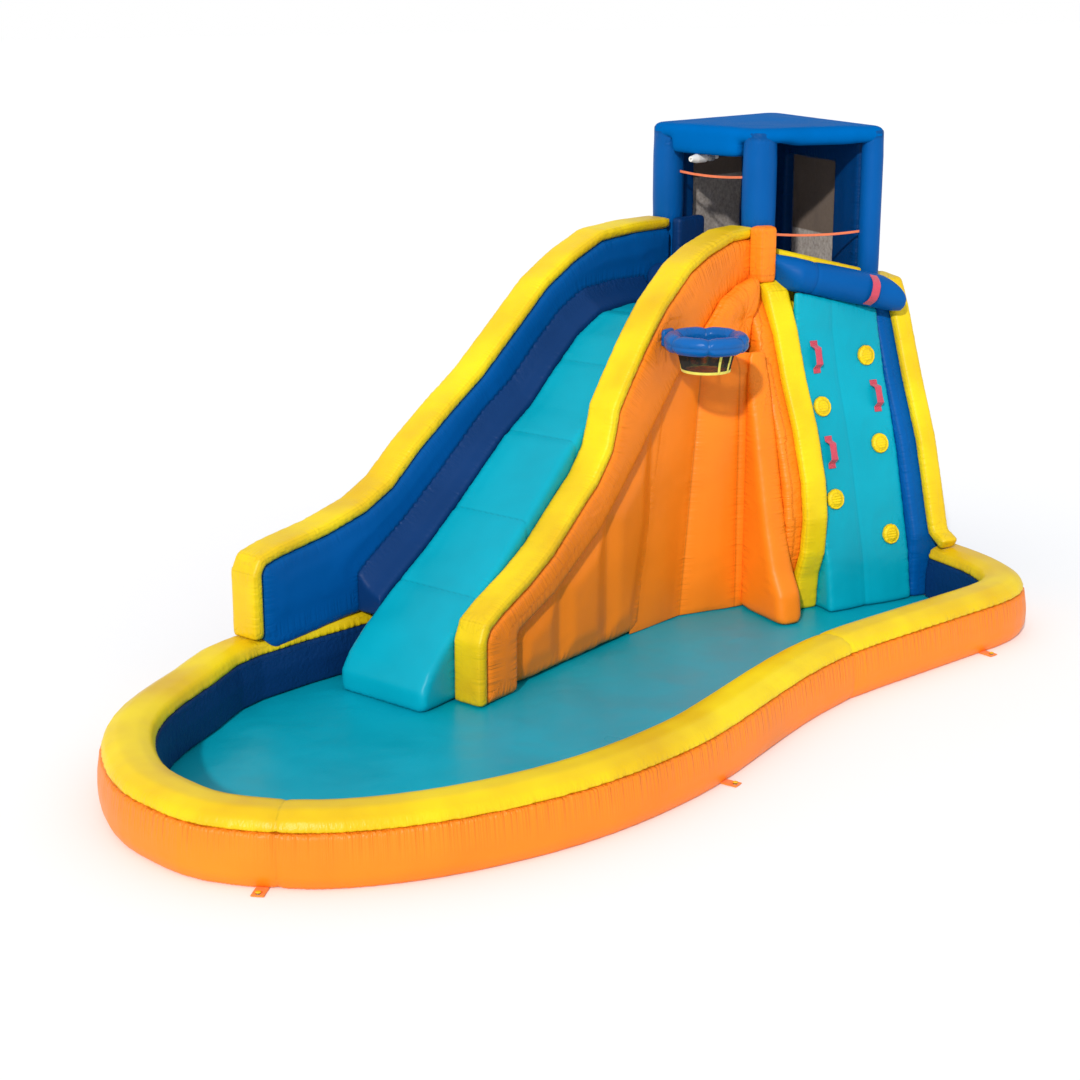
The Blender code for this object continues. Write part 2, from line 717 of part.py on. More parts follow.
ARCH_SHARES = (
    (0.00, 0.700), (0.00, 0.868), (0.18, 0.866), (0.34, 0.835), (0.50, 0.769), (0.60, 0.700),
    (0.50, 0.665), (0.34, 0.660),
)
CLIMB_WALL_SHARES = (
    (0.262, 1.020), (0.310, 1.020), (0.344, 0.9726), (0.465, 0.800), (0.590, 0.665),
    (0.700, 0.534), (0.845, 0.315),
    (0.930, 0.185), (1.000, 0.009),
)
CLIMB_LEFT_RAIL_SHARES = (
    (0.060, 1.163), (0.215, 1.120), (0.380, 0.986), (0.534, 0.822), (0.724, 0.664), (0.880, 0.480),
    (0.925, 0.350), (0.900, 0.220), (0.820, 0.130), (0.800, 0.009),
)
CLIMB_RIGHT_RAIL_SHARES = (
    (-0.050, 1.142), (0.235, 1.130), (0.355, 1.035), (0.586, 0.801), (0.828, 0.582),
    (0.983, 0.377), (1.069, 0.260),
    (1.220, 0.214),
)
CLIMB_SIDE_SHARES = (
    (0.400, 0.990), (0.540, 0.790), (0.680, 0.560), (0.820, 0.330), (0.940, 0.180), (1.050, 0.110),
    (1.090, 0.009),
)


def climb_frame():
    return side_frame(Vector((0.0, plan(FRONT_CORNER_SHARES).y, 0.0)), math.radians(90.0))


def climb_slab(name, outline, low, high, edge, colour, home):
    """An outline of the climb's side view, extruded between two places along X."""
    return slab(name, outline, -high, -low, climb_frame(), edge, colour, home)


def climb_surface(height):
    """How far the climbing wall stands out at a height."""
    wall = scaled(CLIMB_WALL_SHARES, CLIMB_REACH, CLIMB_TOP)
    for (far, high), (near, low) in zip(wall, wall[1:]):
        if height >= low:
            return far + (near - far) * (high - height) / (high - low)
    return wall[-1][0]


def climb_bar_ends():
    front = plan(FRONT_CORNER_SHARES).y
    start = Vector((CLIMB_LEFT + BAR_INSET, front - CLIMB_BAR_OUT, CLIMB_BAR_HEIGHT))
    ahead = front - CLIMB_BAR_OUT - CLIMB_BAR_SKEW
    end = Vector((CLIMB_RIGHT - BAR_END, ahead, CLIMB_BAR_HEIGHT - BAR_DROP))
    return start, end


def bar_underside(x):
    """The height that the climb's top bar rests at for a place along X."""
    start, end = climb_bar_ends()
    share = (x - start.x) / (end.x - start.x)
    lean = (end - start).length / math.hypot(end.x - start.x, end.y - start.y)
    return start.z + (end.z - start.z) * share - CLIMB_BAR_RADIUS * lean - GAP


def make_climb_wall(home):
    """The wall's upper edge is lifted to the bar, which slopes down to the right."""
    foot = FLOOR_THICK + GAP
    wall = scaled(CLIMB_WALL_SHARES, CLIMB_REACH, CLIMB_TOP)
    back = wall[0][0]
    outline = wall[:-1] + [(wall[-1][0], foot), (back, foot)]
    obj = climb_slab("climb_wall", outline, CLIMB_LEFT + GAP, CLIMB_RIGHT - GAP, CLIMB_EDGE, TEAL, home)
    obj = to_mesh(obj)
    ridge = wall[0][1]
    for vertex in obj.data.vertices:
        weight = (vertex.co.y - CLIMB_LIFT_FROM) / (ridge - CLIMB_LIFT_FROM)
        if weight > 0:
            x = (CLIMB_LEFT + CLIMB_RIGHT) / 2 - vertex.co.z
            vertex.co.y += weight * (bar_underside(x) - ridge)
    make_footholds(home)


def make_climb_left(home):
    foot = FLOOR_THICK + GAP
    top = scaled(CLIMB_LEFT_RAIL_SHARES, CLIMB_REACH, CLIMB_TOP)
    top = top[:-1] + [(top[-1][0], foot)]
    low = CLIMB_LEFT - CLIMB_BAND_WIDTH
    under = from_place(inward(top, BAND_THICK), CLIMB_START)
    band = from_place(top, CLIMB_START) + under[::-1]
    climb_slab("climb_rail_left_band", band, low, CLIMB_LEFT, BAND_EDGE, YELLOW, home)
    inner = from_place(inward(top, BAND_THICK + GAP), CLIMB_START)
    outline = inner[:-1] + [(inner[-1][0], foot), (CLIMB_START, foot)]
    climb_slab("climb_rail_left", outline, low - CLIMB_TUBE_WIDTH, CLIMB_LEFT, PANEL_EDGE, ORANGE, home)


def make_climb_right(home):
    foot = FLOOR_THICK + GAP
    rest = WALL_HEIGHT + GAP
    top = scaled(CLIMB_RIGHT_RAIL_SHARES, CLIMB_REACH, CLIMB_TOP)
    low = CLIMB_RIGHT + CLIMB_FACE_WIDTH
    high = low + CLIMB_OUTER_WIDTH
    under = [(a, max(b, rest)) for a, b in inward(top, BAND_THICK)]
    crown = [(a, max(b, rest + BAND_THICK)) for a, b in top]
    band = crown + from_place(under, crown[0][0])[::-1]
    climb_slab("climb_rail_right_band", band, low, high, BAND_EDGE, YELLOW, home)
    panel = [place for place in inward(top, BAND_THICK + GAP) if place[1] > rest + BAND_THICK]
    panel = from_place(panel, CLIMB_BACK)
    outline = panel + [(panel[-1][0], foot), (CLIMB_BACK, foot)]
    climb_slab("climb_rail_right", outline, CLIMB_RIGHT, high, PANEL_EDGE, BLUE, home)


def end_on(obj, frame, low, high):
    """Slants the ends of a bar that runs across a frame, so that they lie on two lines of it."""
    to_frame = frame.inverted() @ obj.matrix_world
    for vertex in obj.data.vertices:
        place = to_frame @ vertex.co
        line = high if vertex.co.z > 0 else low
        vertex.co.z += at(line, place.x) - place.z
    return obj


def end_at(obj, low, high):
    """Slants a bar's two ends so that they lie at two places along X."""
    run = obj.matrix_world.to_3x3() @ Vector((0.0, 0.0, 1.0))
    for vertex in obj.data.vertices:
        place = (obj.matrix_world @ vertex.co).x
        limit = high if (vertex.co.z > 0) == (run.x > 0) else low
        vertex.co.z += (limit - place) / run.x
    return obj


def make_climb(home):
    make_climb_wall(home)
    make_climb_left(home)
    make_climb_right(home)
    foot = FLOOR_THICK + GAP
    side = from_place(scaled(CLIMB_SIDE_SHARES, CLIMB_REACH, CLIMB_TOP), CURTAIN_DEPTH + GAP)
    side = side[:-1] + [(side[-1][0], foot), (side[0][0], foot)]
    high = CLIMB_LEFT - CLIMB_BAND_WIDTH - CLIMB_TUBE_WIDTH - GAP
    climb_slab("climb_side_panel", side, high - CLIMB_SIDE_WIDTH, high, PANEL_EDGE, ORANGE, home)
    start, end = climb_bar_ends()
    bar = round_bar("climb_top_bar", start, end, CLIMB_BAR_RADIUS, BLUE, home, 32)
    end_at(bar, CLIMB_LEFT + GAP, CLIMB_RIGHT - GAP)


# Footholds: column (0 left, 1 right) and height share of each
FOOTHOLD_SHARES = ((1, 0.872), (0, 0.716), (1, 0.568), (0, 0.399), (1, 0.250))


def wall_seat(column, height, reach, clear):
    """Sits on the wall's face with local Z pointing out. The piece touches it from clear to reach."""
    above = climb_surface(height + reach)
    below = climb_surface(height - reach)
    along = Vector((above - below, 2 * reach)).normalized()
    out = Vector((along.y, -along.x))
    middle = Vector(((above + below) / 2, height))
    wall = scaled(CLIMB_WALL_SHARES, CLIMB_REACH, CLIMB_TOP)
    heights = [high for far, high in wall if clear < abs(high - height) < reach]
    heights += [height - clear, height + clear]
    proud = 0.0
    for high in heights:
        proud = max(proud, (Vector((climb_surface(high), high)) - middle).dot(out))
    seat = middle + out * (proud + GAP)
    share = COLUMN_RIGHT_SHARE if column else COLUMN_LEFT_SHARE
    x = CLIMB_LEFT + (CLIMB_RIGHT - CLIMB_LEFT) * share
    up = Vector((0.0, -along.x, along.y))
    side = Vector((1.0, 0.0, 0.0))
    frame = Matrix((side, up, side.cross(up))).transposed().to_4x4()
    frame.translation = Vector((x, plan(FRONT_CORNER_SHARES).y - seat.x, seat.y))
    return frame


def turned(name, profile, frame, colour, home, steps=20):
    """A closed profile of (radius, height) turned about the frame's Z."""
    mesh = bpy.data.meshes.new(name)
    count = len(profile)
    mesh.from_pydata([(r, 0.0, z) for r, z in profile], [(i, i + 1) for i in range(count - 1)], [])
    obj = bpy.data.objects.new(name, mesh)
    home.objects.link(obj)
    screw = obj.modifiers.new("Turned", "SCREW")
    screw.axis = "Z"
    screw.steps = steps
    screw.render_steps = steps
    screw.use_merge_vertices = True
    screw.merge_threshold = WELD
    screw.use_smooth_shade = True
    obj.matrix_world = frame
    return give(obj, name, colour)


# Half of a foothold's section, in its radius and its rise
FOOTHOLD_PROFILE_SHARES = (
    (0.0, 1.0), (0.45, 0.94), (0.72, 0.72), (0.84, 0.40), (0.93, 0.65), (1.0, 0.50), (1.0, 0.0), (0.0, 0.0),
)


def make_footholds(home):
    """Padded discs with a raised rim, standing on the wall's face."""
    profile = scaled(FOOTHOLD_PROFILE_SHARES, FOOTHOLD_RADIUS, FOOTHOLD_RISE)
    for number, (column, share) in enumerate(FOOTHOLD_SHARES, 1):
        frame = wall_seat(column, share * CLIMB_TOP, FOOTHOLD_RADIUS, 0.0)
        turned(f"foothold_{number}", profile, frame, YELLOW, home, 24)


# Webbing handles on the climbing wall: column and height share of each
HANDLE_SHARES = ((0, 0.885), (0, 0.560), (1, 0.730))


def handle_outline(length, rise, thick):
    """Side view of a strap: two flat ends, and a middle that stands off what it is sewn to."""
    half = length / 2
    flat = length * HANDLE_FLAT_SHARE
    ramp = length * HANDLE_RAMP_SHARE
    lower = [
        (-half, 0.0), (-half + flat, 0.0), (-half + flat + ramp, rise), (half - flat - ramp, rise),
        (half - flat, 0.0), (half, 0.0),
    ]
    upper = [
        (half, thick), (half - flat + thick / 2, thick), (half - flat - ramp + thick / 2, rise + thick),
        (-half + flat + ramp - thick / 2, rise + thick), (-half + flat - thick / 2, thick), (-half, thick),
    ]
    return lower + upper


def strap_handle(name, frame, length, width, home):
    """A strap whose length runs along the frame's X and which stands off along its Y."""
    outline = handle_outline(length, HANDLE_RISE, HANDLE_THICK)
    return slab(name, outline, -width / 2, width / 2, frame, 0.0, PINK, home, 0)


def bar_handle(name, place, ahead, run, radius, home):
    """A strap round the front of a bar, standing off at its middle."""
    lower = []
    for i in range(HANDLE_STEPS + 1):
        share = i / HANDLE_STEPS
        angle = (share * 2 - 1) * HANDLE_ANGLE
        reach = radius + GAP + HANDLE_LIFT * max(0.0, math.sin(math.pi * share)) ** 2
        lower.append((reach * math.cos(angle), reach * math.sin(angle)))
    upper = [(a * (1 + HANDLE_THICK / radius), b * (1 + HANDLE_THICK / radius)) for a, b in lower]
    run = run.normalized()
    ahead = (ahead - run * ahead.dot(run)).normalized()
    frame = Matrix((ahead, run.cross(ahead), run)).transposed().to_4x4()
    frame.translation = place
    slab(name, upper + lower[::-1], -HANDLE_WIDTH / 2, HANDLE_WIDTH / 2, frame, 0.0, PINK, home, 0)


def make_handles(home):
    for number, (column, share) in enumerate(HANDLE_SHARES, 1):
        clear = HANDLE_LENGTH / 2 - HANDLE_LENGTH * HANDLE_FLAT_SHARE
        seat = wall_seat(column, share * CLIMB_TOP, HANDLE_LENGTH / 2, clear)
        x_shift = HANDLE_SHIFT if column else 0.0
        turn = Matrix(((0, 0, 1, x_shift), (1, 0, 0, 0), (0, 1, 0, 0), (0, 0, 0, 1)))
        strap_handle(f"climb_handle_{number}", seat @ turn, HANDLE_LENGTH, HANDLE_WIDTH, home)
    start, end = climb_bar_ends()
    run = (end - start).normalized()
    place = end - run * (HANDLE_WIDTH * HANDLE_PLACE_SHARE)
    bar_handle("climb_bar_handle", place, Vector((0.0, -1.0, 0.0)), run, CLIMB_BAR_RADIUS, home)
    middle = slide_frames()[2]
    ahead = middle.to_3x3().col[0]
    run = middle.to_3x3().col[2]
    place = middle @ Vector((BAR_PLACE, bar_height(), -BAR_RADIUS))
    bar_handle("slide_bar_handle", place, ahead, run, BAR_RADIUS, home)


# Tower


def post_place(corner, before, after, inset):
    """The middle of a post that touches both of the faces that meet at its corner."""
    one = (before - corner).normalized()
    two = (after - corner).normalized()
    half = one.angle(two) / 2
    return corner + (one + two).normalized() * (inset / math.sin(half))


def wall_frame(start, end):
    """Local X runs from start to end, local Y up, local Z out of the tower."""
    along = (end - start).normalized()
    up = Vector((0.0, 0.0, 1.0))
    frame = Matrix((along, up, along.cross(up))).transposed().to_4x4()
    frame.translation = start
    return frame


def make_wall(name, ends, posts, radii, shares, home, cutters):
    """A padded wall between two posts, flush with the tower's side, with a net in its window."""
    frame = wall_frame(*ends)
    places = [(frame.inverted() @ post).x for post in posts]
    near = places[0] + radii[0] + GAP
    far = places[1] - radii[1] - GAP
    base = DECK_HEIGHT + GAP
    top = ROOF_TOP - ROOF_THICK - GAP
    outline = [(near, base), (far, base), (far, top), (near, top)]
    outer = -POST_INSET
    wall = slab("tower_wall_" + name, outline, outer - TOWER_WALL, outer, frame, WALL_EDGE, BLUE, home)
    wall = to_mesh(wall)
    length = places[1] - places[0]
    left = places[0] + length * shares[0]
    right = places[0] + length * shares[1]
    low = (left, WINDOW_SILL, -2 * TOWER_WALL)
    high = (right, WINDOW_HEAD, TOWER_WALL)
    cutter = as_cutter(box("window_" + name, low, high, frame, BLUE, cutters), cutters)
    boolean(wall, cutter)
    middle = frame @ Matrix.Translation((0.0, 0.0, outer - TOWER_WALL / 2))
    net_low = (left + GAP, WINDOW_SILL + GAP)
    net_high = (right - GAP, WINDOW_HEAD - GAP)
    make_net("window_net_" + name, net_low, net_high, middle, home)


def make_net(name, low, high, frame, home):
    """A flat net in a frame of tape. Its gaps are cut through one sheet."""
    bars = NET_COLUMNS
    rows = NET_ROWS
    width = high[0] - low[0] - 2 * NET_TAPE
    height = high[1] - low[1] - 2 * NET_TAPE
    work = bmesh.new()
    columns = [low[0]]
    for i in range(bars):
        start = low[0] + NET_TAPE + width * i / bars
        columns += [start + NET_CORD / 2, start + width / bars - NET_CORD / 2]
    columns.append(high[0])
    lines = [low[1]]
    for i in range(rows):
        start = low[1] + NET_TAPE + height * i / rows
        lines += [start + NET_CORD / 2, start + height / rows - NET_CORD / 2]
    lines.append(high[1])
    grid = [[work.verts.new((x, y, 0.0)) for x in columns] for y in lines]
    for j in range(len(lines) - 1):
        for i in range(len(columns) - 1):
            if i % 2 == 1 and j % 2 == 1:
                continue
            work.faces.new((grid[j][i], grid[j][i + 1], grid[j + 1][i + 1], grid[j + 1][i]))
    mesh = bpy.data.meshes.new(name)
    work.to_mesh(mesh)
    work.free()
    obj = bpy.data.objects.new(name, mesh)
    home.objects.link(obj)
    obj.matrix_world = frame
    solid = obj.modifiers.new("Thickness", "SOLIDIFY")
    solid.thickness = NET_THICK
    solid.offset = 0.0
    return give(obj, name, GREY)


def rounded(corners, radii):
    """The outline through corners with an arc of its own radius at each."""
    points = []
    for i, corner in enumerate(corners):
        one = (corners[i - 1] - corner).normalized()
        two = (corners[(i + 1) % len(corners)] - corner).normalized()
        half = one.angle(two) / 2
        centre = corner + (one + two).normalized() * (radii[i] / math.sin(half))
        start = corner + one * (radii[i] / math.tan(half)) - centre
        end = corner + two * (radii[i] / math.tan(half)) - centre
        turn = math.pi - 2 * half
        for step in range(CORNER_STEPS + 1):
            share = step / CORNER_STEPS
            blend = (start * math.sin(turn * (1 - share)) + end * math.sin(turn * share)) / math.sin(turn)
            points.append(((centre + blend).x, (centre + blend).y))
    return points


def make_tower(home, cutters):
    shares = (LEFT_CORNER_SHARES, FRONT_CORNER_SHARES, RIGHT_CORNER_SHARES, BACK_CORNER_SHARES)
    corners = [plan(share) for share in shares]
    outline = rounded(corners, POST_RADII)
    flat = Matrix.Identity(4)
    slab("tower_base", outline, FLOOR_THICK + GAP, DECK_HEIGHT, flat, ROOF_EDGE, BLUE, home)
    roof = to_mesh(slab("roof", outline, ROOF_TOP - ROOF_THICK, ROOF_TOP, flat, ROOF_EDGE, BLUE, home, 2))
    names = ("left", "front", "right", "back")
    posts = []
    for i, name in enumerate(names):
        inset = POST_RADII[i] + POST_INSET
        place = post_place(corners[i], corners[i - 1], corners[(i + 1) % 4], inset)
        posts.append(place)
        low = place + Vector((0.0, 0.0, DECK_HEIGHT + GAP))
        high = place + Vector((0.0, 0.0, ROOF_TOP - ROOF_THICK - GAP))
        round_bar("tower_post_" + name, low, high, POST_RADII[i], BLUE, home, 20)
    left, front, right, back = corners
    post = dict(zip(names, posts))
    size = dict(zip(names, POST_RADII))
    pair = (post["right"], post["back"])
    radii = (size["right"], size["back"])
    make_wall("right", (right, back), pair, radii, RIGHT_WINDOW_SHARES, home, cutters)
    pair = (post["back"], post["left"])
    radii = (size["back"], size["left"])
    make_wall("left", (back, left), pair, radii, LEFT_WINDOW_SHARES, home, cutters)
    across = (post["left"], post["front"], size["left"], size["front"])
    edge = make_beam(left, front, *across, cutters)
    boolean(roof, as_cutter(edge, cutters), "UNION")
    make_strap("strap_front_left", *across, STRAP_LEFT_HEIGHT, home)
    across = (post["front"], post["right"], size["front"], size["right"])
    make_trim(*across, home)
    make_strap("strap_front_right", *across, STRAP_RIGHT_HEIGHT, home)
    return corners, posts


def make_beam(left, front, start, end, near, far, home):
    """The roof's deep edge over the slide's entrance, between two posts and flush with them."""
    frame = wall_frame(left, front)
    back = frame.inverted()
    under = ROOF_TOP - ROOF_THICK - BEAM_DEEP
    low = ((back @ start).x + near + GAP, under, -BEAM_WIDTH)
    high = ((back @ end).x - far - GAP, under + BEAM_DEEP + ROOF_THICK / 2, -POST_INSET)
    return box("roof_edge", low, high, frame, BLUE, home, BEAM_DEEP / 3, 3)


def make_trim(start, end, near, far, home):
    """The sill behind the climb's top bar."""
    frame = wall_frame(start, end)
    length = (end - start).length
    base = DECK_HEIGHT + GAP
    high_end = CLIMB_BAR_HEIGHT + CLIMB_BAR_RADIUS + TRIM_RISE
    outline = [
        (near + GAP, base), (length - far - GAP, base), (length - far - GAP, high_end - BAR_DROP),
        (near + GAP, high_end),
    ]
    slab("climb_bar_trim", outline, TRIM_OUT - TRIM_THICK, TRIM_OUT, frame, TRIM_THICK / 4, YELLOW, home)


def make_strap(name, start, end, near, far, height, home):
    """Webbing across an entrance, sagging a little between the posts."""
    frame = wall_frame(start, end)
    run = (end - start).length - near - far - 2 * GAP
    upper = []
    for i in range(STRAP_STEPS + 1):
        share = i / STRAP_STEPS
        sag = STRAP_SAG * 4 * share * (1 - share)
        upper.append((near + GAP + run * share, height - sag))
    lower = [(a, b - STRAP_WIDTH) for a, b in upper]
    slab(name, lower + upper[::-1], -STRAP_THICK / 2, STRAP_THICK / 2, frame, 0.0, ORANGE, home, 0)


# Hoop


def make_hoop(home):
    left, right, middle = slide_frames()
    centre = Vector((HOOP_ALONG, HOOP_HEIGHT, -HOOP_OUT))
    place = right @ centre
    bpy.ops.mesh.primitive_torus_add(
        major_radius=HOOP_RADIUS, minor_radius=HOOP_TUBE, major_segments=32,
        minor_segments=12, location=place,
    )
    ring = bpy.context.object
    for other in list(ring.users_collection):
        other.objects.unlink(ring)
    home.objects.link(ring)
    ring.data.shade_smooth()
    give(ring, "hoop_ring", BLUE)
    # The net hangs from the lower inner side of the tube
    seat = Vector((-math.cos(HOOP_NET_ANGLE), -math.sin(HOOP_NET_ANGLE))) * (HOOP_TUBE + GAP)
    wall = Vector((-math.sin(HOOP_NET_ANGLE), math.cos(HOOP_NET_ANGLE))) * HOOP_NET_WALL
    low = -HOOP_TUBE - HOOP_NET_DROP
    profile = [
        (HOOP_RADIUS + seat.x, seat.y), (HOOP_NET_LOW, low), (HOOP_NET_LOW - HOOP_NET_WALL, low),
        (HOOP_RADIUS + seat.x + wall.x, seat.y + wall.y),
    ]
    profile.append(profile[0])
    turned("hoop_net", profile, Matrix.Translation(place), BLACK, home, 32)
    # The sleeve that carries the ring on the slide's side
    reach = HOOP_OUT - HOOP_RADIUS - HOOP_TUBE
    low = (HOOP_ALONG - HOOP_SLEEVE / 2, HOOP_HEIGHT - HOOP_TUBE, -reach + GAP)
    high = (HOOP_ALONG + HOOP_SLEEVE / 2, HOOP_HEIGHT + HOOP_TUBE, -GAP)
    box("hoop_mount", low, high, right, BLUE, home, HOOP_SLEEVE_EDGE)


# Water spray


def make_spray(home, corners, posts):
    """A nozzle under the front beam with a hose stub into the tower, and the stub's coupling nut."""
    frame = wall_frame(corners[0], corners[1])
    length = (corners[1] - corners[0]).length
    x = length * NOZZLE_SHARE
    y = ROOF_TOP - ROOF_THICK - BEAM_DEEP - GAP - NOZZLE_RADIUS
    start = frame @ Vector((x, y, -NOZZLE_BACK))
    end = frame @ Vector((x, y, NOZZLE_LENGTH - NOZZLE_BACK))
    run = (end - start).length
    profile = [
        (0.0, -STUB_LENGTH), (STUB_RADIUS, -STUB_LENGTH), (STUB_RADIUS, 0.0), (NOZZLE_RADIUS, GAP),
        (NOZZLE_RADIUS, run * NOZZLE_WAIST_SHARE), (NOZZLE_TIP, run), (NOZZLE_BORE, run),
        (NOZZLE_BORE, run - NOZZLE_TIP), (0.0, run - NOZZLE_TIP),
    ]
    aim = frame @ Matrix.Translation((x, y, -NOZZLE_BACK))
    turned("spray_nozzle", profile[::-1], aim, PALE, home, 20)
    nut = ring_outline(NUT_RADIUS, NUT_LOBES, NUT_RIDGE)
    turn = frame @ Matrix.Translation((x, y, -NOZZLE_BACK - STUB_LENGTH / 2))
    obj = slab("hose_coupling_nut", nut, -NUT_LENGTH / 2, NUT_LENGTH / 2, turn, 0.0, BLACK, home, 0)
    add_hole(obj, circle(STUB_RADIUS + GAP, 20))


def circle(radius, count, turn=0.0):
    step = 2 * math.pi / count
    return [(radius * math.cos(turn + i * step), radius * math.sin(turn + i * step)) for i in range(count)]


def ring_outline(radius, lobes, ridge):
    """A round outline with raised grip ribs."""
    points = []
    for i in range(lobes * 4):
        angle = 2 * math.pi * i / (lobes * 4)
        reach = radius if i % 4 < 2 else radius - ridge
        points.append((reach * math.cos(angle), reach * math.sin(angle)))
    return points


def add_hole(obj, outline):
    spline = obj.data.splines.new("POLY")
    spline.points.add(len(outline) - 1)
    for point, place in zip(spline.points, outline):
        point.co = (place[0], place[1], 0.0, 1.0)
    spline.use_cyclic_u = True


# Blower, behind the slide


def blower_frame():
    """Local X along the impeller's axle, local Y up, local Z away from the slide."""
    left, right, middle = slide_frames()
    return left @ Matrix.Translation((BLOWER_PLACE, 0.0, 0.0))


def make_blower(home, cutters):
    frame = blower_frame()
    centre_y = BLOWER_RADIUS + BLOWER_FOOT
    centre_z = SLEEVE_END + BLOWER_DUCT + BLOWER_RADIUS
    half = BLOWER_WIDTH / 2
    start = frame @ Vector((-half, centre_y, centre_z))
    end = frame @ Vector((half, centre_y, centre_z))
    housing = round_bar("blower_housing", start, end, BLOWER_RADIUS, BLACK, home, 32)
    duct_low = (-SLEEVE_RADIUS, centre_y - SLEEVE_RADIUS, SLEEVE_END)
    duct_high = (SLEEVE_RADIUS, centre_y + SLEEVE_RADIUS, centre_z)
    duct = as_cutter(box("blower_duct", duct_low, duct_high, frame, BLACK, cutters), cutters)
    boolean(housing, duct, "UNION")
    spread = BLOWER_RADIUS * BLOWER_FOOT_SHARE
    foot_low = (-half, 0.0, centre_z - spread)
    foot_high = (half, centre_y - BLOWER_RADIUS / 2, centre_z + spread)
    foot = as_cutter(box("blower_foot", foot_low, foot_high, frame, BLACK, cutters), cutters)
    boolean(housing, foot, "UNION")
    inner = BLOWER_RADIUS - BLOWER_WALL
    start = frame @ Vector((-half + BLOWER_WALL, centre_y, centre_z))
    end = frame @ Vector((half + BLOWER_WALL, centre_y, centre_z))
    hollow = as_cutter(round_bar("blower_hollow", start, end, inner, BLACK, cutters, 32), cutters)
    boolean(housing, hollow)
    start = frame @ Vector((0.0, centre_y, SLEEVE_END - BLOWER_WALL))
    end = frame @ Vector((0.0, centre_y, centre_z - BLOWER_RADIUS / 2))
    bore = SLEEVE_RADIUS - 2 * BLOWER_WALL
    outlet = as_cutter(round_bar("blower_outlet", start, end, bore, BLACK, cutters, 24), cutters)
    boolean(housing, outlet)
    start = frame @ Vector((-half, centre_y, centre_z))
    end = frame @ Vector((half - BLOWER_WALL * 4, centre_y, centre_z))
    axle = as_cutter(round_bar("blower_axle", start, end, AXLE_RADIUS, BLACK, cutters, 16), cutters)
    boolean(housing, axle, "UNION")

    start = frame @ Vector((-half - MOTOR_LENGTH, centre_y, centre_z))
    end = frame @ Vector((-half - GAP, centre_y, centre_z))
    round_bar("blower_motor", start, end, MOTOR_RADIUS, GREY, home, 24, MOTOR_RADIUS / 6)

    spin = frame @ Matrix.Translation((0.0, centre_y, centre_z))
    spin = spin @ Matrix.Rotation(math.radians(90.0), 4, "Y")
    reach = IMPELLER_WIDTH / 2
    wheel = slab("blower_impeller", paddles(), -reach, reach, spin, 0.0, PALE, home, 0)
    add_hole(wheel, circle(AXLE_RADIUS + GAP, 16))

    cover = frame @ Matrix.Translation((half - GRILLE_THICK / 2, centre_y, centre_z))
    cover = cover @ Matrix.Rotation(math.radians(90.0), 4, "Y")
    reach = GRILLE_THICK / 2
    grille = slab("blower_grille", circle(inner - GAP, 32), -reach, reach, cover, 0.0, GREY, home, 0)
    for ring in range(GRILLE_RINGS):
        low = inner * (GRILLE_START_SHARE + ring * (1 - GRILLE_START_SHARE) / GRILLE_RINGS)
        high = low + inner * (1 - GRILLE_START_SHARE) / GRILLE_RINGS - GRILLE_BAR
        for i in range(GRILLE_SLOTS):
            add_hole(grille, slot(low, high, i))

    top = frame @ Matrix.Translation((0.0, centre_y + BLOWER_RADIUS + GAP, centre_z))
    top = top @ Matrix.Rotation(math.radians(-90.0), 4, "X")
    knob = ring_outline(SWITCH_RADIUS, SWITCH_LOBES, SWITCH_RIDGE)
    slab("blower_switch", knob, 0.0, SWITCH_RISE, top, 0.0, PINK, home, 0)

    start = frame @ Vector((0.0, centre_y, -BODY_INSET + GAP))
    end = frame @ Vector((0.0, centre_y, SLEEVE_END - GAP))
    round_bar("inflation_sleeve", start, end, SLEEVE_RADIUS, BLUE, home, 24)


def paddles():
    """The side view of a paddle wheel: a hub with straight blades."""
    points = []
    for i in range(IMPELLER_BLADES):
        middle = 2 * math.pi * i / IMPELLER_BLADES
        root = BLADE_THICK / 2 / HUB_RADIUS
        tip = BLADE_THICK / 2 / IMPELLER_RADIUS
        points.append((HUB_RADIUS * math.cos(middle - root), HUB_RADIUS * math.sin(middle - root)))
        points.append((IMPELLER_RADIUS * math.cos(middle - tip), IMPELLER_RADIUS * math.sin(middle - tip)))
        points.append((IMPELLER_RADIUS * math.cos(middle + tip), IMPELLER_RADIUS * math.sin(middle + tip)))
        points.append((HUB_RADIUS * math.cos(middle + root), HUB_RADIUS * math.sin(middle + root)))
    return points


def slot(low, high, number):
    """One curved slot of the grille."""
    step = 2 * math.pi / GRILLE_SLOTS
    gap = GRILLE_BAR / low
    start = number * step + gap / 2
    run = step - gap
    inner = [(low * math.cos(start + run * i / 3), low * math.sin(start + run * i / 3)) for i in range(4)]
    outer = [(high * math.cos(start + run * i / 3), high * math.sin(start + run * i / 3)) for i in range(4)]
    return inner + outer[::-1]


# Ground anchors


def make_anchors(home):
    """Webbing tabs sewn along the pool wall's foot."""
    path = [Vector((*place, 0.0)) for place in pool_path()]
    (foot, low_share), (side, high_share) = POOL_SIDE_SHARES[:2]
    lean = (side - foot) * WALL_WIDTH / 2 / ((high_share - low_share) * SEAM_HEIGHT)
    # The wall leans out above its foot, so a tab starts where its upper face meets the wall
    start = foot * WALL_WIDTH / 2 + lean * ANCHOR_THICK + GAP
    for number, share in enumerate(ANCHOR_SHARES, 1):
        i = round(share * (len(path) - 1))
        frame = wall_frame(path[i], path[i] + path[i + 1] - path[i - 1])
        low = (-ANCHOR_WIDTH / 2, 0.0, start)
        high = (ANCHOR_WIDTH / 2, ANCHOR_THICK, start + ANCHOR_LENGTH)
        box(f"anchor_tab_{number}", low, high, frame, ORANGE, home)


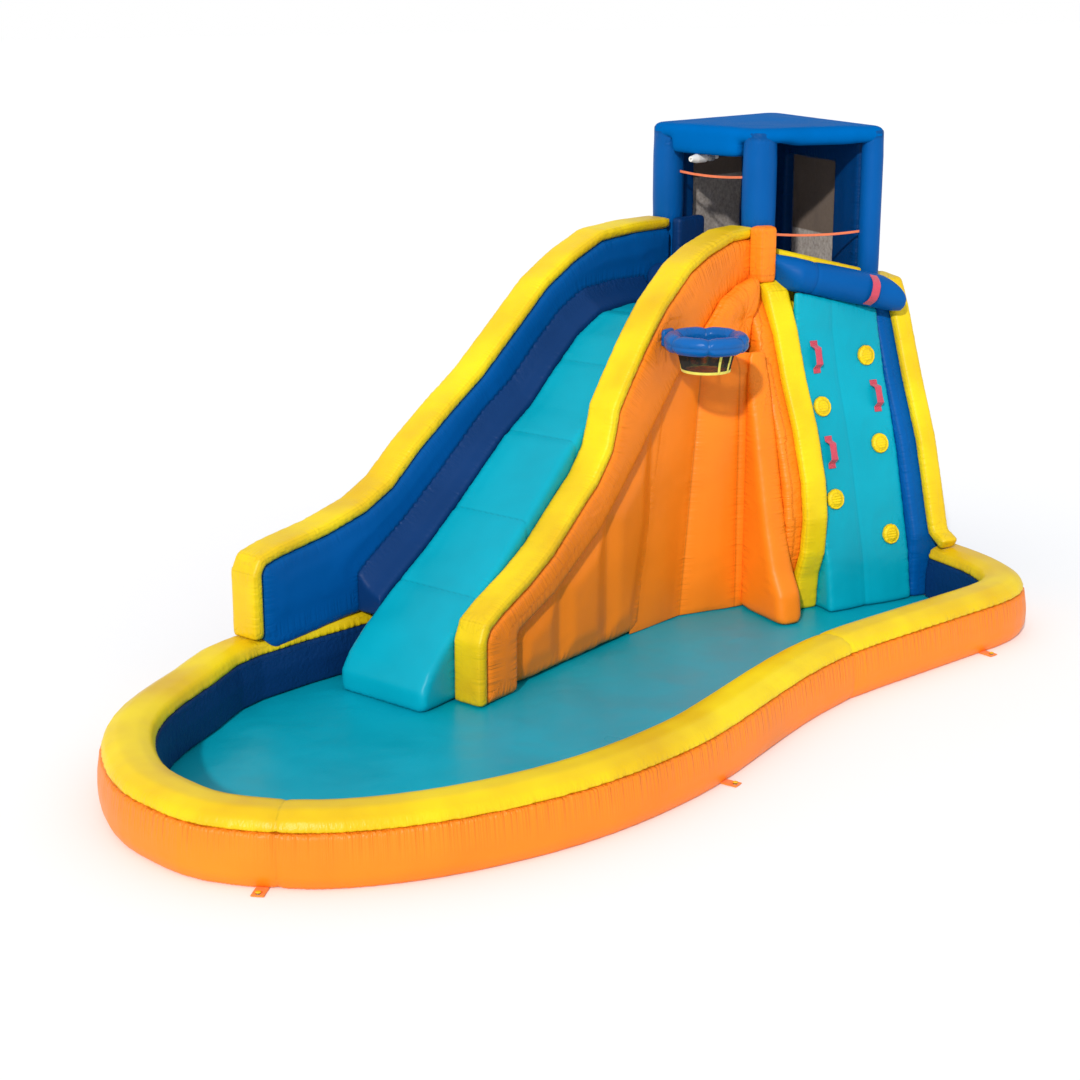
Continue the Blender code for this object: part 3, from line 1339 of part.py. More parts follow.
def build():
    clear_scene()
    home = make_collection("inflatable_water_slide")
    cutters = make_collection("cutters")
    cutters.hide_render = True
    make_pool(home, cutters)
    make_floor(home)
    make_slide(home)
    corners, posts = make_tower(home, cutters)
    make_slide_ends(home, corners)
    make_corner(home)
    make_climb(home)
    make_handles(home)
    make_hoop(home)
    make_spray(home, corners, posts)
    make_blower(home, cutters)
    make_anchors(home)


build()
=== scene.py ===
# %% [markdown]
# # An inflatable water slide
# The real object is a set of chambers sewn from coated nylon and kept tight by a blower. The packed
# model holds each chamber as a plain solid. Here every soft solid gets a fuller piece in the same
# place: rounded edges, swollen panels, pleats along the seams and a woven, coated finish. The hard
# pieces keep their solids and get moulded plastic finishes.

# %% Load the frame
import math

import bmesh
import bpy
import numpy as np
from mathutils import Matrix, Vector, noise
from mathutils.bvhtree import BVHTree
from mathutils.geometry import delaunay_2d_cdt


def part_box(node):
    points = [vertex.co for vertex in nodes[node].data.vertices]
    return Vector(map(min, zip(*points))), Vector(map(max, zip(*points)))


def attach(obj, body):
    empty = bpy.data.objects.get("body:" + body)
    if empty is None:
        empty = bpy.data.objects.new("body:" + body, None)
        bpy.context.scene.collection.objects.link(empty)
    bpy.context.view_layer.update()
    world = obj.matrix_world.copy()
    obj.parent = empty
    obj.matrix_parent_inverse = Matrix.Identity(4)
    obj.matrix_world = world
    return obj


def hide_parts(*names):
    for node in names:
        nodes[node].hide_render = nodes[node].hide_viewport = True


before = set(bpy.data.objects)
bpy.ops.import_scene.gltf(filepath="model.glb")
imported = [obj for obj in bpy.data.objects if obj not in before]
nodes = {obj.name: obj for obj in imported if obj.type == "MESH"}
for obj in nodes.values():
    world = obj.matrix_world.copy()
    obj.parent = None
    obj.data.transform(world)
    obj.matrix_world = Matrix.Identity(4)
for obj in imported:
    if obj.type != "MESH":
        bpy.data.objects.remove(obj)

UP = Vector((0, 0, 1))
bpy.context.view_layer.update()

# %% [markdown]
# ## Colours and the one node helper
# Colours are written as a paint card gives them, in hex, and turned to the linear values that the
# renderer works in. One helper adds a shader or geometry node with its settings and its links, so a
# material reads as a list of what feeds what.

# %% Colours and nodes
HEX = {
    # shaded_ and sunlit_ colours are darker and paler copies of the blue and the net: painted shade and
    # painted sunlight
    "orange": "FA8518", "yellow": "EED20C", "mustard": "D8AC10", "blue": "00549C", "shaded_blue": "003A72",
    "sunlit_blue": "0060AB", "navy": "0A3468", "hoop": "045DA8", "teal": "029FB6", "pink": "CC4159",
    "salmon": "EE7A4C", "pale_yellow": "E8DC5A", "tape_navy": "0B3F7D", "thread": "8F2438", "net": "26241F",
    "shaded_net": "75665A", "sunlit_net": "D2CAC2", "black": "1C1D20", "grille": "151618", "fan": "6C7076",
    "white": "E4E3DE", "grey": "8E9195", "red": "B5261E", "housing": "1E5AA0", "peg": "E3B40F",
    "steel": "B9BCC0",
}


def linear(code):
    """A hex colour as linear red, green, blue and alpha."""
    shares = [int(code[i:i + 2], 16) / 255 for i in (0, 2, 4)]
    return tuple(s / 12.92 if s <= 0.04045 else ((s + 0.055) / 1.055) ** 2.4 for s in shares) + (1.0,)


def shade(code, factor):
    return tuple(share * factor for share in linear(code)[:3]) + (1.0,)


def feed(node, inputs):
    """Fills a node's inputs, each with a value, from an output or from another node's first output."""
    for key, value in inputs.items():
        value = value.outputs[0] if isinstance(value, bpy.types.Node) else value
        if isinstance(value, bpy.types.NodeSocket):
            node.id_data.links.new(value, node.inputs[key])
        else:
            node.inputs[key].default_value = value


def add(tree, kind, inputs=None, **settings):
    """Adds a node with its settings and what feeds it."""
    node = tree.nodes.new(kind)
    for key, value in settings.items():
        setattr(node, key, value)
    feed(node, inputs or {})
    return node


def new_material(name):
    """A material, its tree, its shader and the place on the object that its patterns follow."""
    material = bpy.data.materials.new(name)
    material.use_nodes = True
    tree = material.node_tree
    place = add(tree, "ShaderNodeTexCoord").outputs["Object"]
    return material, tree, tree.nodes["Principled BSDF"], place


# %% [markdown]
# ## Coated nylon
# The chambers are woven nylon with a thin vinyl coat: the eye sees a satin sheen, a fine weave close
# up, soft creases where the cloth isn't quite tight, and short pleats where two panels are sewn
# together. Each soft mesh carries how far a point is from its nearest seam, where that seam point is,
# and how far the nearest weld is. A noise read at the seam point is the same all the way out from the
# seam, so it draws pleats square to it.

# %% The coated nylon finish
PLEAT = 0.020         # metres from one pleat to the next
WEAVE = 0.0035        # drawn coarser than the real 0.5 mm thread, so that it shows close up
WEAVE_DEPTH = 0.0003
WAVE_PITCH = 0.314    # metres from band to band in a wave texture of scale 1
STITCH = 0.007        # length of a stitch and of the space after it
STITCH_OFF = 0.017    # from the seam to its row of stitches
STITCH_HALF = 0.0018  # half the width of that row
VINYL_IOR = 1.48
MIDDLE = {"From Min": 0.3, "From Max": 0.7}  # where nearly all of a noise texture's values lie


def coated_nylon(name, code, deep=None, crease=0.20, crease_depth=0.007, pleat_depth=0.006, reach=0.075,
                 gloss=0.40, shine=0.28):
    material, tree, shader, place = new_material(name)
    off, weld, at = (add(tree, "ShaderNodeAttribute", attribute_name=label).outputs[socket]
                     for label, socket in (("seam_off", "Fac"), ("weld_off", "Fac"), ("seam_at", "Vector")))
    drift = add(tree, "ShaderNodeTexNoise", {"Vector": place, "Scale": 2.2, "Detail": 3.0})
    uneven = add(tree, "ShaderNodeMapRange", {"Value": drift, **MIDDLE})
    tone = add(tree, "ShaderNodeMix", {
        0: uneven, 6: linear(deep) if deep else shade(code, 0.88), 7: shade(code, 1.06),
    }, data_type="RGBA").outputs[2]
    # The stitch line: short dark dashes a finger's width from the seam
    dash = add(tree, "ShaderNodeTexChecker", {
        "Vector": at, "Scale": 1 / STITCH, "Color1": (1, 1, 1, 1), "Color2": (0, 0, 0, 1),
    }).outputs["Fac"]
    line = add(tree, "ShaderNodeMapRange", {
        "Value": add(tree, "ShaderNodeMath", {0: off, 1: STITCH_OFF}, operation="SUBTRACT"),
        "From Min": -STITCH_HALF, "From Max": STITCH_HALF, "To Min": 0.0, "To Max": math.pi,
    })
    line = add(tree, "ShaderNodeMath", {0: line}, operation="SINE")
    stitch = add(tree, "ShaderNodeMath", {0: line, 1: dash}, operation="MULTIPLY")
    # Painted shade in the groove of each seam and each weld
    seam_shade, weld_shade = (add(tree, "ShaderNodeMapRange", {
        "Value": distance, "From Min": 0.001, "From Max": width, "To Min": dark, "To Max": 0.0,
    }) for distance, width, dark in ((off, 0.008, 0.40), (weld, 0.006, 0.30)))
    groove = add(tree, "ShaderNodeMath", {0: seam_shade, 1: weld_shade}, operation="MAXIMUM")
    # the stitches' own dark thread, plus the painted shade in the grooves
    stitch_and_shade = add(tree, "ShaderNodeMath", {0: stitch, 1: 0.14, 2: groove}, operation="MULTIPLY_ADD")
    colour = add(tree, "ShaderNodeMix", {0: stitch_and_shade, 6: tone, 7: shade(code, 0.35)}, data_type="RGBA")
    # Pleats die out away from the seam
    fade = add(tree, "ShaderNodeMapRange", {
        "Value": off, "From Min": 0.004, "From Max": reach, "To Min": 1.0, "To Max": 0.0,
    }, interpolation_type="SMOOTHSTEP")
    pleat = add(tree, "ShaderNodeTexNoise", {
        "Vector": at, "Scale": 1 / PLEAT, "Detail": 2.0, "Roughness": 0.55,
    })
    pleat = add(tree, "ShaderNodeMath", {0: pleat, 1: fade}, operation="MULTIPLY")
    # Slack creases, longer than wide
    turned = add(tree, "ShaderNodeMapping", {"Vector": place, "Scale": (1.0, 1.0, 1.7)})
    slack = add(tree, "ShaderNodeTexNoise", {
        "Vector": turned, "Scale": 1 / crease, "Detail": 3.0, "Roughness": 0.5, "Distortion": 0.6,
    }, noise_type="RIDGED_MULTIFRACTAL")
    weave = add(tree, "ShaderNodeTexWave", {
        "Vector": place, "Scale": WAVE_PITCH / WEAVE, "Distortion": 0.0,
    }, bands_direction="DIAGONAL").outputs["Fac"]
    relief = {}
    for height, distance, strength in (
            (slack, crease_depth, 0.35), (pleat, pleat_depth, 1.0), (weave, WEAVE_DEPTH, 0.5)):
        bump = add(tree, "ShaderNodeBump", {
            "Height": height, "Distance": distance, "Strength": strength, **relief,
        })
        relief = {"Normal": bump}
    rough = add(tree, "ShaderNodeMapRange", {
        "Value": drift, **MIDDLE, "To Min": gloss - 0.05, "To Max": gloss + 0.07,
    })
    feed(shader, {"Base Color": colour.outputs[2], "Roughness": rough, "IOR": VINYL_IOR,
                  "Specular IOR Level": shine, **relief})
    return material


NYLON = {name: coated_nylon(f"coated_nylon_{name}", HEX[code], **settings) for name, code, settings in (
    ("orange", "orange", {}),
    ("orange_gathered", "orange",
     {"crease": 0.13, "crease_depth": 0.010, "pleat_depth": 0.011, "reach": 0.120}),
    ("yellow", "yellow", {"deep": HEX["mustard"]}),
    ("blue", "blue", {"shine": 0.09}),
    # the roof's finish: the blue made paler, as painted sunlight
    ("painted_sunlit_blue_roof", "sunlit_blue", {"shine": 0.002}),
    # the window walls' finish: the blue made darker, as painted shade under the roof
    ("painted_shade_blue_wall", "shaded_blue", {"shine": 0.09}),
    ("navy", "navy", {"shine": 0.12}),
    ("teal", "teal", {"gloss": 0.32, "shine": 0.18}),
    ("hoop", "hoop", {"crease": 0.06, "gloss": 0.30, "shine": 0.25}),
    ("cloth", "orange", {"crease": 0.30, "crease_depth": 0.014}),
    ("pool", "orange", {"pleat_depth": 0.016, "reach": 0.150}),
)}
print("nylon finishes:", ", ".join(NYLON))

# %% [markdown]
# ## From a plain solid to a tight chamber
# A chamber is a solid whose edges are drawn round by the air. A voxel remesh gives an even net of
# faces, a smoothing pass rounds every edge by a few centimetres, and then the panels swell between
# their seams while the seams stay put. The small pads are also blown up with the cloth solver. Chambers
# metres long would take it minutes each, so they swell by their distance from the seams alone.

# %% Meshes from the frame
KEEP_CLEAR = 0.045  # metres from a neighbour at which an edge counts as free
TOUCH = 0.004       # and at which it counts as touching
LEVELS = 8          # steps of freedom between the two
home = bpy.data.collections.new("soft_goods")
bpy.context.scene.collection.children.link(home)


def merged(node):
    """A copy of a solid's mesh with its loose triangles joined."""
    work = bmesh.new()
    work.from_mesh(nodes[node].data)
    bmesh.ops.remove_doubles(work, verts=work.verts, dist=0.0001)
    for part in (work.verts, work.edges, work.faces):
        part.index_update()
        part.ensure_lookup_table()
    return work


def new_object(name, data):
    obj = bpy.data.objects.new(name, data)
    home.objects.link(obj)
    return obj


def worked_object(name, work):
    """An object with the mesh that was worked on."""
    mesh = bpy.data.meshes.new(name)
    work.to_mesh(mesh)
    work.free()
    return new_object(name, mesh)


def drawn_object(name, points, edges=(), faces=()):
    """An object with a mesh of the given points, edges and faces."""
    mesh = bpy.data.meshes.new(name)
    mesh.from_pydata([tuple(point) for point in points], edges, faces)
    return new_object(name, mesh)


def smooth(mesh):
    mesh.polygons.foreach_set("use_smooth", [True] * len(mesh.polygons))


def finished(obj):
    """Applies an object's modifiers by taking its evaluated mesh."""
    bpy.context.view_layer.update()
    graph = bpy.context.evaluated_depsgraph_get()
    mesh = bpy.data.meshes.new_from_object(obj.evaluated_get(graph))
    obj.modifiers.clear()
    obj.data = mesh
    mesh.name = obj.name
    return obj


def read_points(mesh):
    """The points of a mesh and their normals."""
    read = []
    for kind in ("co", "normal"):
        values = np.empty(len(mesh.vertices) * 3, np.float32)
        mesh.vertices.foreach_get(kind, values)
        read.append(values.reshape(-1, 3).astype(float))
    return read


def write_points(mesh, points):
    mesh.vertices.foreach_set("co", points.astype(np.float32).ravel())
    mesh.update()


def lift_points(mesh, depth):
    """Moves each point out along its normal, by its own depth."""
    points, normals = read_points(mesh)
    write_points(mesh, points + normals * depth[:, None])


def rounded(name, node, voxel, rounds, touching=None, least=0.10):
    """The solid as an even net of faces, with its free edges drawn round.

    Where it touches a neighbour the edges keep nearly their place, so that no gap opens there.
    """
    obj = worked_object(name, merged(node))
    even = obj.modifiers.new("Even net", "REMESH")
    even.mode, even.voxel_size, even.use_smooth_shade = "VOXEL", voxel, True
    finished(obj)
    soft = obj.modifiers.new("Soft edges", "SMOOTH")
    soft.factor, soft.iterations = 0.5, rounds
    if touching is not None:
        points = read_points(obj.data)[0]
        apart = np.array([touching.find_nearest(p, KEEP_CLEAR)[3] or KEEP_CLEAR for p in points])
        free = np.clip((apart - TOUCH) / (KEEP_CLEAR - TOUCH), 0.0, 1.0)
        level = np.round(free * LEVELS).astype(int)
        group = obj.vertex_groups.new(name="free")
        for step in range(LEVELS + 1):
            chosen = [int(i) for i in np.nonzero(level == step)[0]]
            group.add(chosen, least + (1 - least) * step / LEVELS, "REPLACE")
        soft.vertex_group = "free"
    finished(obj)
    obj.vertex_groups.clear()
    return obj


# %% [markdown]
# ## Where the seams are
# A seam runs wherever two chambers meet, and along the edges of the boxed panels. For each point of a
# soft mesh the nearest point of the neighbouring solids is looked up, and the nearest sample of its
# own sharp edges. Welded panel lines that cross a long tube are given as planes.

# %% Seam measuring
FAR = 0.30       # metres beyond which the distance from a seam no longer matters
SLIVER = 0.0001  # width of the slivers laid along a solid's edges


def neighbours(node, others):
    """One search tree over the other soft solids."""
    points, faces = [], []
    for other in others:
        if other == node:
            continue
        mesh = nodes[other].data
        start = len(points)
        points += [v.co.copy() for v in mesh.vertices]
        faces += [[start + i for i in polygon.vertices] for polygon in mesh.polygons]
    return BVHTree.FromPolygons(points, faces)


def own_edges(node, least):
    """One search tree over thin slivers laid along the solid's own sharp edges."""
    work = merged(node)
    points, faces = [], []
    for edge in work.edges:
        if len(edge.link_faces) == 2 and edge.calc_face_angle() > least:
            start = len(points)
            one, two = (v.co.copy() for v in edge.verts)
            points += [one, two, (one + two) / 2 + UP * SLIVER]
            faces.append([start, start + 1, start + 2])
    work.free()
    return BVHTree.FromPolygons(points, faces) if faces else None


def measure_seams(points, trees, planes):
    """How far each point's nearest seam is, where that seam point lies, and how far its nearest weld is."""
    off = np.full(len(points), FAR)
    at = points.copy()
    for tree in trees:
        for i, point in enumerate(points):
            found, normal, index, distance = tree.find_nearest(point, off[i])
            if found is not None:
                off[i] = distance
                at[i] = found
    weld = np.full(len(points), FAR)
    for place, normal in planes:
        weld = np.minimum(weld, np.abs((points - np.array(place)) @ np.array(normal)))
    return off, at, weld


def put_attributes(mesh, off, at, weld):
    for label, kind, key, values in (("seam_off", "FLOAT", "value", off), ("weld_off", "FLOAT", "value", weld),
                                     ("seam_at", "FLOAT_VECTOR", "vector", at)):
        row = mesh.attributes.new(label, kind, "POINT")
        row.data.foreach_set(key, np.asarray(values, np.float32).ravel())


def noise_at(points, size):
    """Smooth noise from -1 to 1 at each point, for a pattern of that size in metres."""
    return np.array([noise.noise(Vector(point) / size) for point in points])


def ease(share):
    """A share from 0 to 1 that starts and ends gently."""
    share = np.clip(share, 0.0, 1.0)
    return share * share * (3 - 2 * share)


# %% Swelling and pleating
PRESS = 0.0015                         # chambers press on each other, which closes the solids' gaps
SWELL_REACH = 0.12                     # from a seam to where a panel stands out fully
WELD_DEPTH, WELD_WIDTH = 0.004, 0.012  # the groove that a welded line pulls in
SAG_SIZE, SAG = 0.35, 0.175            # how wide the slack patches are, and their share of the swelling
CALM_ROUNDS = 20


def puff(obj, off, at, weld, swell, pleat, size):
    """Panels stand out between their seams, and pleats of a few millimetres run in to them."""
    points, normals = read_points(obj.data)
    near = off < 3 * size
    folds = np.zeros(len(points))
    folds[near] = noise_at(at[near], size) * np.exp(-off[near] / size)
    move = swell * ease(np.minimum(off, weld) / SWELL_REACH) * (1 + SAG * noise_at(points, SAG_SIZE))
    move += PRESS + pleat * folds - WELD_DEPTH * np.exp(-(weld / WELD_WIDTH) ** 2)
    lowest = points[:, 2].min()
    points += normals * move[:, None]
    points[:, 2] = np.maximum(points[:, 2], lowest)  # flat on what it stands on
    write_points(obj.data, points)


def calm(obj, most):
    """Draws in each stray point that stands further than this from the middle of its neighbours."""
    points = read_points(obj.data)[0]
    ends = np.empty(len(obj.data.edges) * 2, np.int32)
    obj.data.edges.foreach_get("vertices", ends)
    one, two = ends.reshape(-1, 2).T
    count = np.bincount(ends, minlength=len(points))[:, None]
    for step in range(CALM_ROUNDS):
        total = np.zeros_like(points)
        np.add.at(total, one, points[two])
        np.add.at(total, two, points[one])
        stray = np.linalg.norm(total / count - points, axis=1) > most
        points[stray] = (total / count)[stray]
    write_points(obj.data, points)


def trim(obj, finish):
    """Gives a piece its finish and puts it on the slide's body."""
    obj.data.materials.clear()
    obj.data.materials.append(finish)
    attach(obj, "slide")


def dress(obj, finish, node):
    """Does that for a piece that stands for a solid, and hides that solid."""
    trim(obj, finish)
    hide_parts(node)
    return obj


# %% [markdown]
# ## The chambers
# Each row names the piece, the solid that it stands for, its finish, the size of its faces, how many
# smoothing rounds draw its edges round, how far its panels swell, how deep its pleats are, and whether
# its own edges are sewn. The three sizes are in millimetres. Bands and rails are boxed: their edges are
# seams. Posts, bars and pads are plain tubes, sewn only where they meet something.

# %% The list of chambers
CHAMBERS = [
    ("pool_wall_side", "pool_wall", "pool", 13, 8, 4, 1.4, False),
    ("pool_wall_band", "pool_wall_top", "yellow", 11, 6, 4, 1.2, False),
    ("pool_lining", "pool_liner", "navy", 10, 3, 0, 0.8, False),
    ("left_rail_side", "slide_rail_left", "blue", 14, 10, 10, 1.6, True),
    ("left_rail_band", "slide_rail_left_band", "yellow", 12, 8, 5, 1.4, True),
    ("right_rail_side", "slide_rail_right", "orange_gathered", 14, 10, 10, 1.6, True),
    ("right_rail_band", "slide_rail_right_band", "yellow", 12, 8, 5, 1.4, True),
    ("slide_bed", "slide_lane", "teal", 14, 8, 3, 1.2, False),
    ("slide_side_gutter", "slide_gutter", "navy", 10, 9, 2, 1, False),
    ("slide_lower_body", "slide_body", "orange", 20, 6, 22, 1.6, True),
    ("slide_bar", "slide_top_bar", "navy", 10, 8, 3, 1.2, False),
    ("left_end_pad", "slide_pad_left", "navy", 9, 8, 3, 1, True),
    ("right_end_block", "slide_block_right", "orange", 9, 8, 3, 1, True),
    ("gathered_arch", "corner_arch", "orange_gathered", 9, 8, 10, 1, False),
    ("climb_side", "climb_side_panel", "orange_gathered", 12, 20, 10, 1.2, False),
    ("climb_face", "climb_wall", "teal", 11, 8, 6, 1.8, False),
    ("climb_left_side", "climb_rail_left", "orange_gathered", 12, 8, 8, 2.4, False),
    ("climb_left_band", "climb_rail_left_band", "yellow", 11, 8, 5, 1.4, True),
    ("climb_right_side", "climb_rail_right", "blue", 12, 8, 8, 1.6, True),
    ("climb_right_band", "climb_rail_right_band", "yellow", 11, 8, 5, 1.4, True),
    ("climb_bar", "climb_top_bar", "blue", 10, 8, 3, 1.4, False),
    ("climb_sill", "climb_bar_trim", "yellow", 10, 6, 2, 1, True),
    ("deck_block", "tower_base", "blue", 20, 8, 26, 1.6, True),
    ("post_left", "tower_post_left", "blue", 11, 6, 3, 1.2, False),
    ("post_front", "tower_post_front", "blue", 11, 6, 3, 1.2, False),
    ("post_right", "tower_post_right", "blue", 10, 6, 3, 1.2, False),
    ("post_back", "tower_post_back", "blue", 11, 6, 3, 1.2, False),
    # the window walls' finish carries painted shade
    ("window_wall_left", "tower_wall_left", "painted_shade_blue_wall", 11, 6, 5, 1.4, True),
    ("window_wall_right", "tower_wall_right", "painted_shade_blue_wall", 11, 6, 5, 1.4, True),
    # the roof's finish carries painted sunlight
    ("roof_cushion", "roof", "painted_sunlit_blue_roof", 13, 14, 6, 1, False),
    ("hoop_tube", "hoop_ring", "hoop", 7, 2, 15, 4.5, False),
    ("hoop_sleeve", "hoop_mount", "hoop", 7, 6, 2, 1, False),
    ("air_sleeve", "inflation_sleeve", "blue", 9, 5, 4, 3, False),
]
FOOTHOLDS = [f"foothold_{number}" for number in range(1, 6)]
soft_solids = [row[1] for row in CHAMBERS] + ["corner_curtain"] + FOOTHOLDS

# Welded panel lines: a point on each line's plane, and the plane's normal
HOOP = Vector((0.8327, 0.0223, 1.5))
DOWN_SLIDE = (-0.9304, -0.3665, 0.0)
BACK_RIGHT, BACK_LEFT = (0.95, 0.313, 0.0), (0.107, 0.994, 0.0)
POOL_LINES = [((-2.096, -1.635, 0.0), (0.81, -0.57, 0.0)), ((0.953, -1.074, 0.0), (0.95, 0.32, 0.0))]
PANEL_LINES = {
    "pool_wall_side": POOL_LINES,
    "pool_wall_band": POOL_LINES,
    "climb_bar": [((1.733, 0.355, 1.691), (0.958, -0.183, -0.220))],
    "climb_face": [((1.857, 0.0, 0.0), (1.0, 0.0, 0.0))],
    "slide_lower_body": [((1.05 - 0.36 * i, 0.4 - 0.14 * i, 0.0), DOWN_SLIDE) for i in range(6)],
    "deck_block": [((1.99, 1.54, 0.0), BACK_RIGHT), ((1.65, 1.43, 0.0), BACK_RIGHT),
                   ((2.26, 0.84, 0.0), BACK_LEFT), ((2.31, 1.25, 0.0), BACK_LEFT)],
    "slide_bed": [((1.2 - 0.36 * i, 0.8 - 0.14 * i, 0.0), DOWN_SLIDE) for i in range(6)],
    "hoop_tube": [(tuple(HOOP), normal) for normal in
                  [(math.cos(a), math.sin(a), 0.0) for a in (0.5, 1.6, 2.6)] + [(0.0, 0.0, 1.0)]],
}
LEAST_SMOOTHING = {"slide_side_gutter": 0.40}  # its edges are covered by the rails, so no gap can show
PLEAT_SIZE = {"hoop_tube": 0.022, "hoop_sleeve": 0.022, "air_sleeve": 0.035}
print(len(CHAMBERS), "chambers")

# %% [markdown]
# ## Chambers that reach further than their solids
# Air pushes a few chambers past the plain solid. The posts run up into the roof, the foot of the left
# rail sinks on to the pool wall, and the heads of the climb's rail, arch and block close up. Each of
# those is a move and the limits past which points take part in it. The rim of the roof and the
# climb's slanting bar have a small function each, because their limits don't follow an axis.

# %% Reach
X, Y, Z = range(3)
POST = [((0.0, 0.0, 0.055), (Z, 2.30, 0.06)), ((0.0, 0.0, -0.050), (Z, 1.48, -0.05))]
MOVES = {  # how far the points go, and then for each limit its axis, its place and the length it blends over
    "left_rail_side": [((0.0, 0.0, -0.075), (Z, 0.52, -0.12), (X, -1.42, 0.10))],
    "right_end_block": [((0.0, 0.0, -0.030), (Z, 1.745, -0.03))],
    "gathered_arch": [((0.040, 0.0, 0.016), (X, 1.33, 0.08), (Z, 1.40, 0.20))],
    "climb_right_side": [((0.0, 0.018, 0.0), (Y, 0.40, 0.02)), ((0.0, 0.022, 0.080), (Z, 1.40, 0.09))],
    "post_left": POST, "post_front": POST, "post_right": POST, "post_back": POST,
}
TOWER = [Vector(p) for p in ((1.2896, 1.3094), (1.4905, 0.5803), (2.2196, 0.4408), (2.3510, 1.6591))]
ROOF_DROP, ROOF_TOP, ROOF_EDGE = 0.010, 2.44, 0.07
RIM, RIM_BLEND, BEAM_BLEND = 0.16, 0.06, 0.10
BAR_RUN = np.array((0.9583, -0.1829, -0.2195))
BAR_ENDS, BAR_BLENDS = (0.090, 0.092), (0.06, 0.05)  # into the orange block and into the rail
BAR_ASIDE = (0.0, 0.085, 0.0)                        # keeps the first end behind the block


def shift(points, moves):
    moved = points.copy()
    for move, *limits in moves:
        share = np.prod([ease((points[:, axis] - start) / blend) for axis, start, blend in limits], axis=0)
        moved += np.outer(share, move)
    return moved


def deepen_roof(points):
    """The rim of the roof hangs down a little over the posts, but not where its deep beam already does."""
    centre = sum(TOWER, Vector((0, 0))) / len(TOWER)
    depths = []
    for here, there in zip(TOWER, TOWER[1:] + TOWER[:1]):
        inward = Vector((there.y - here.y, here.x - there.x)).normalized()
        inward = inward if inward.dot(centre - here) > 0 else -inward
        depths.append((points[:, :2] - np.array(here)) @ np.array(inward))
    rim = ease((RIM - np.min(depths, axis=0)) / RIM_BLEND) * ease((depths[0] - RIM) / BEAM_BLEND)
    points[:, 2] -= ROOF_DROP * rim * np.clip((ROOF_TOP - points[:, 2]) / ROOF_EDGE, 0.0, 1.0)
    return points


def lengthen_bar(points):
    """The bar runs on at both ends, into what it is sewn to."""
    along = points @ BAR_RUN
    behind = ease((along.min() + BAR_BLENDS[0] - along) / BAR_BLENDS[0])
    ahead = ease((along - along.max() + BAR_BLENDS[1]) / BAR_BLENDS[1])
    move = BAR_ENDS[1] * ahead - BAR_ENDS[0] * behind
    return points + np.outer(move, BAR_RUN) + np.outer(behind, BAR_ASIDE)


RESHAPE = {"roof_cushion": deepen_roof, "climb_bar": lengthen_bar}

# %% [markdown]
# ## Blowing up the small pads
# The pads and bars at the head of the slide and the climb are blown up with the cloth solver: their
# seams are held, air presses from inside for twenty frames, and no point may move further than a cap
# of a centimetre. The result is applied and subdivided once, so no cloth modifier stays.

# %% The cloth simulation
BLOWN = {"slide_bar": 0.010, "left_end_pad": 0.010, "right_end_block": 0.011, "climb_bar": 0.010,
         "gathered_arch": 0.012, "hoop_tube": 0.006}
AIR_PRESSURE = 4.0
LAST_FRAME = 20
SEAM_HELD = 0.012  # points this close to a seam are held


def blow_up(obj, off, cap):
    """Moves the mesh's points as air would, and gives how far the furthest went."""
    before = read_points(obj.data)[0]
    seams = obj.vertex_groups.new(name="seams")
    seams.add([int(i) for i in np.nonzero(off < SEAM_HELD)[0]], 1.0, "REPLACE")
    air = obj.modifiers.new("Air", "CLOTH")
    air.settings.use_pressure = True
    air.settings.uniform_pressure_force = AIR_PRESSURE
    air.settings.vertex_group_mass = "seams"
    air.settings.effector_weights.gravity = 0.0
    air.point_cache.frame_start, air.point_cache.frame_end = 1, LAST_FRAME
    for step in range(1, LAST_FRAME + 1):
        bpy.context.scene.frame_set(step)
    finished(obj)
    bpy.context.scene.frame_set(1)
    obj.vertex_groups.clear()
    move = read_points(obj.data)[0] - before
    far = np.linalg.norm(move, axis=1)
    move *= np.minimum(1.0, cap / np.maximum(far, 1e-6))[:, None]
    write_points(obj.data, before + move)
    return min(far.max(), cap)


# %% Make the chambers
MM = 1000                 # millimetres in a metre
SHARP = math.radians(25)  # an edge sharper than this is sewn
COARSE = 0.020            # a net this coarse leaves stray points where two faces meet
STRAY = 0.002
chambers = {}
for name, node, finish, voxel, rounds, swell, pleat, boxed in CHAMBERS:
    trees = [neighbours(node, soft_solids)]
    obj = rounded(name, node, voxel / MM, rounds, trees[0], LEAST_SMOOTHING.get(name, 0.10))
    points = read_points(obj.data)[0]
    if name in RESHAPE or name in MOVES:
        points = RESHAPE[name](points) if name in RESHAPE else shift(points, MOVES[name])
        write_points(obj.data, points)
    edges = own_edges(node, SHARP) if boxed else None
    if edges is not None:
        trees.append(edges)
    off, at, weld = measure_seams(points, trees, PANEL_LINES.get(name, []))
    if name in BLOWN:
        print(f"{name} blown up by {MM * blow_up(obj, off, BLOWN[name]):.1f} mm")
        finer = obj.modifiers.new("Finer", "SUBSURF")
        finer.levels = finer.render_levels = 1
        points = read_points(finished(obj).data)[0]
        off, at, weld = measure_seams(points, trees, PANEL_LINES.get(name, []))
    puff(obj, off, at, weld, swell / MM, pleat / MM, PLEAT_SIZE.get(name, 0.040))
    if voxel / MM >= COARSE:
        calm(obj, STRAY)
    put_attributes(obj.data, off, at, weld)
    chambers[name] = dress(obj, NYLON[finish], node)
print(sum(len(obj.data.polygons) for obj in chambers.values()), "faces in", len(chambers), "chambers")

# %% [markdown]
# ## The gathered corner
# The corner between the slide and the climb is closed with a slack orange cloth of three widths, sewn
# together along upright seams. It bellies out between them, and its top tucks in under the arch. The
# folds of cloth and arch all run to one stitched point: each point moves by a noise of its angle round
# that point, so the folds fan out from it and fade with distance.

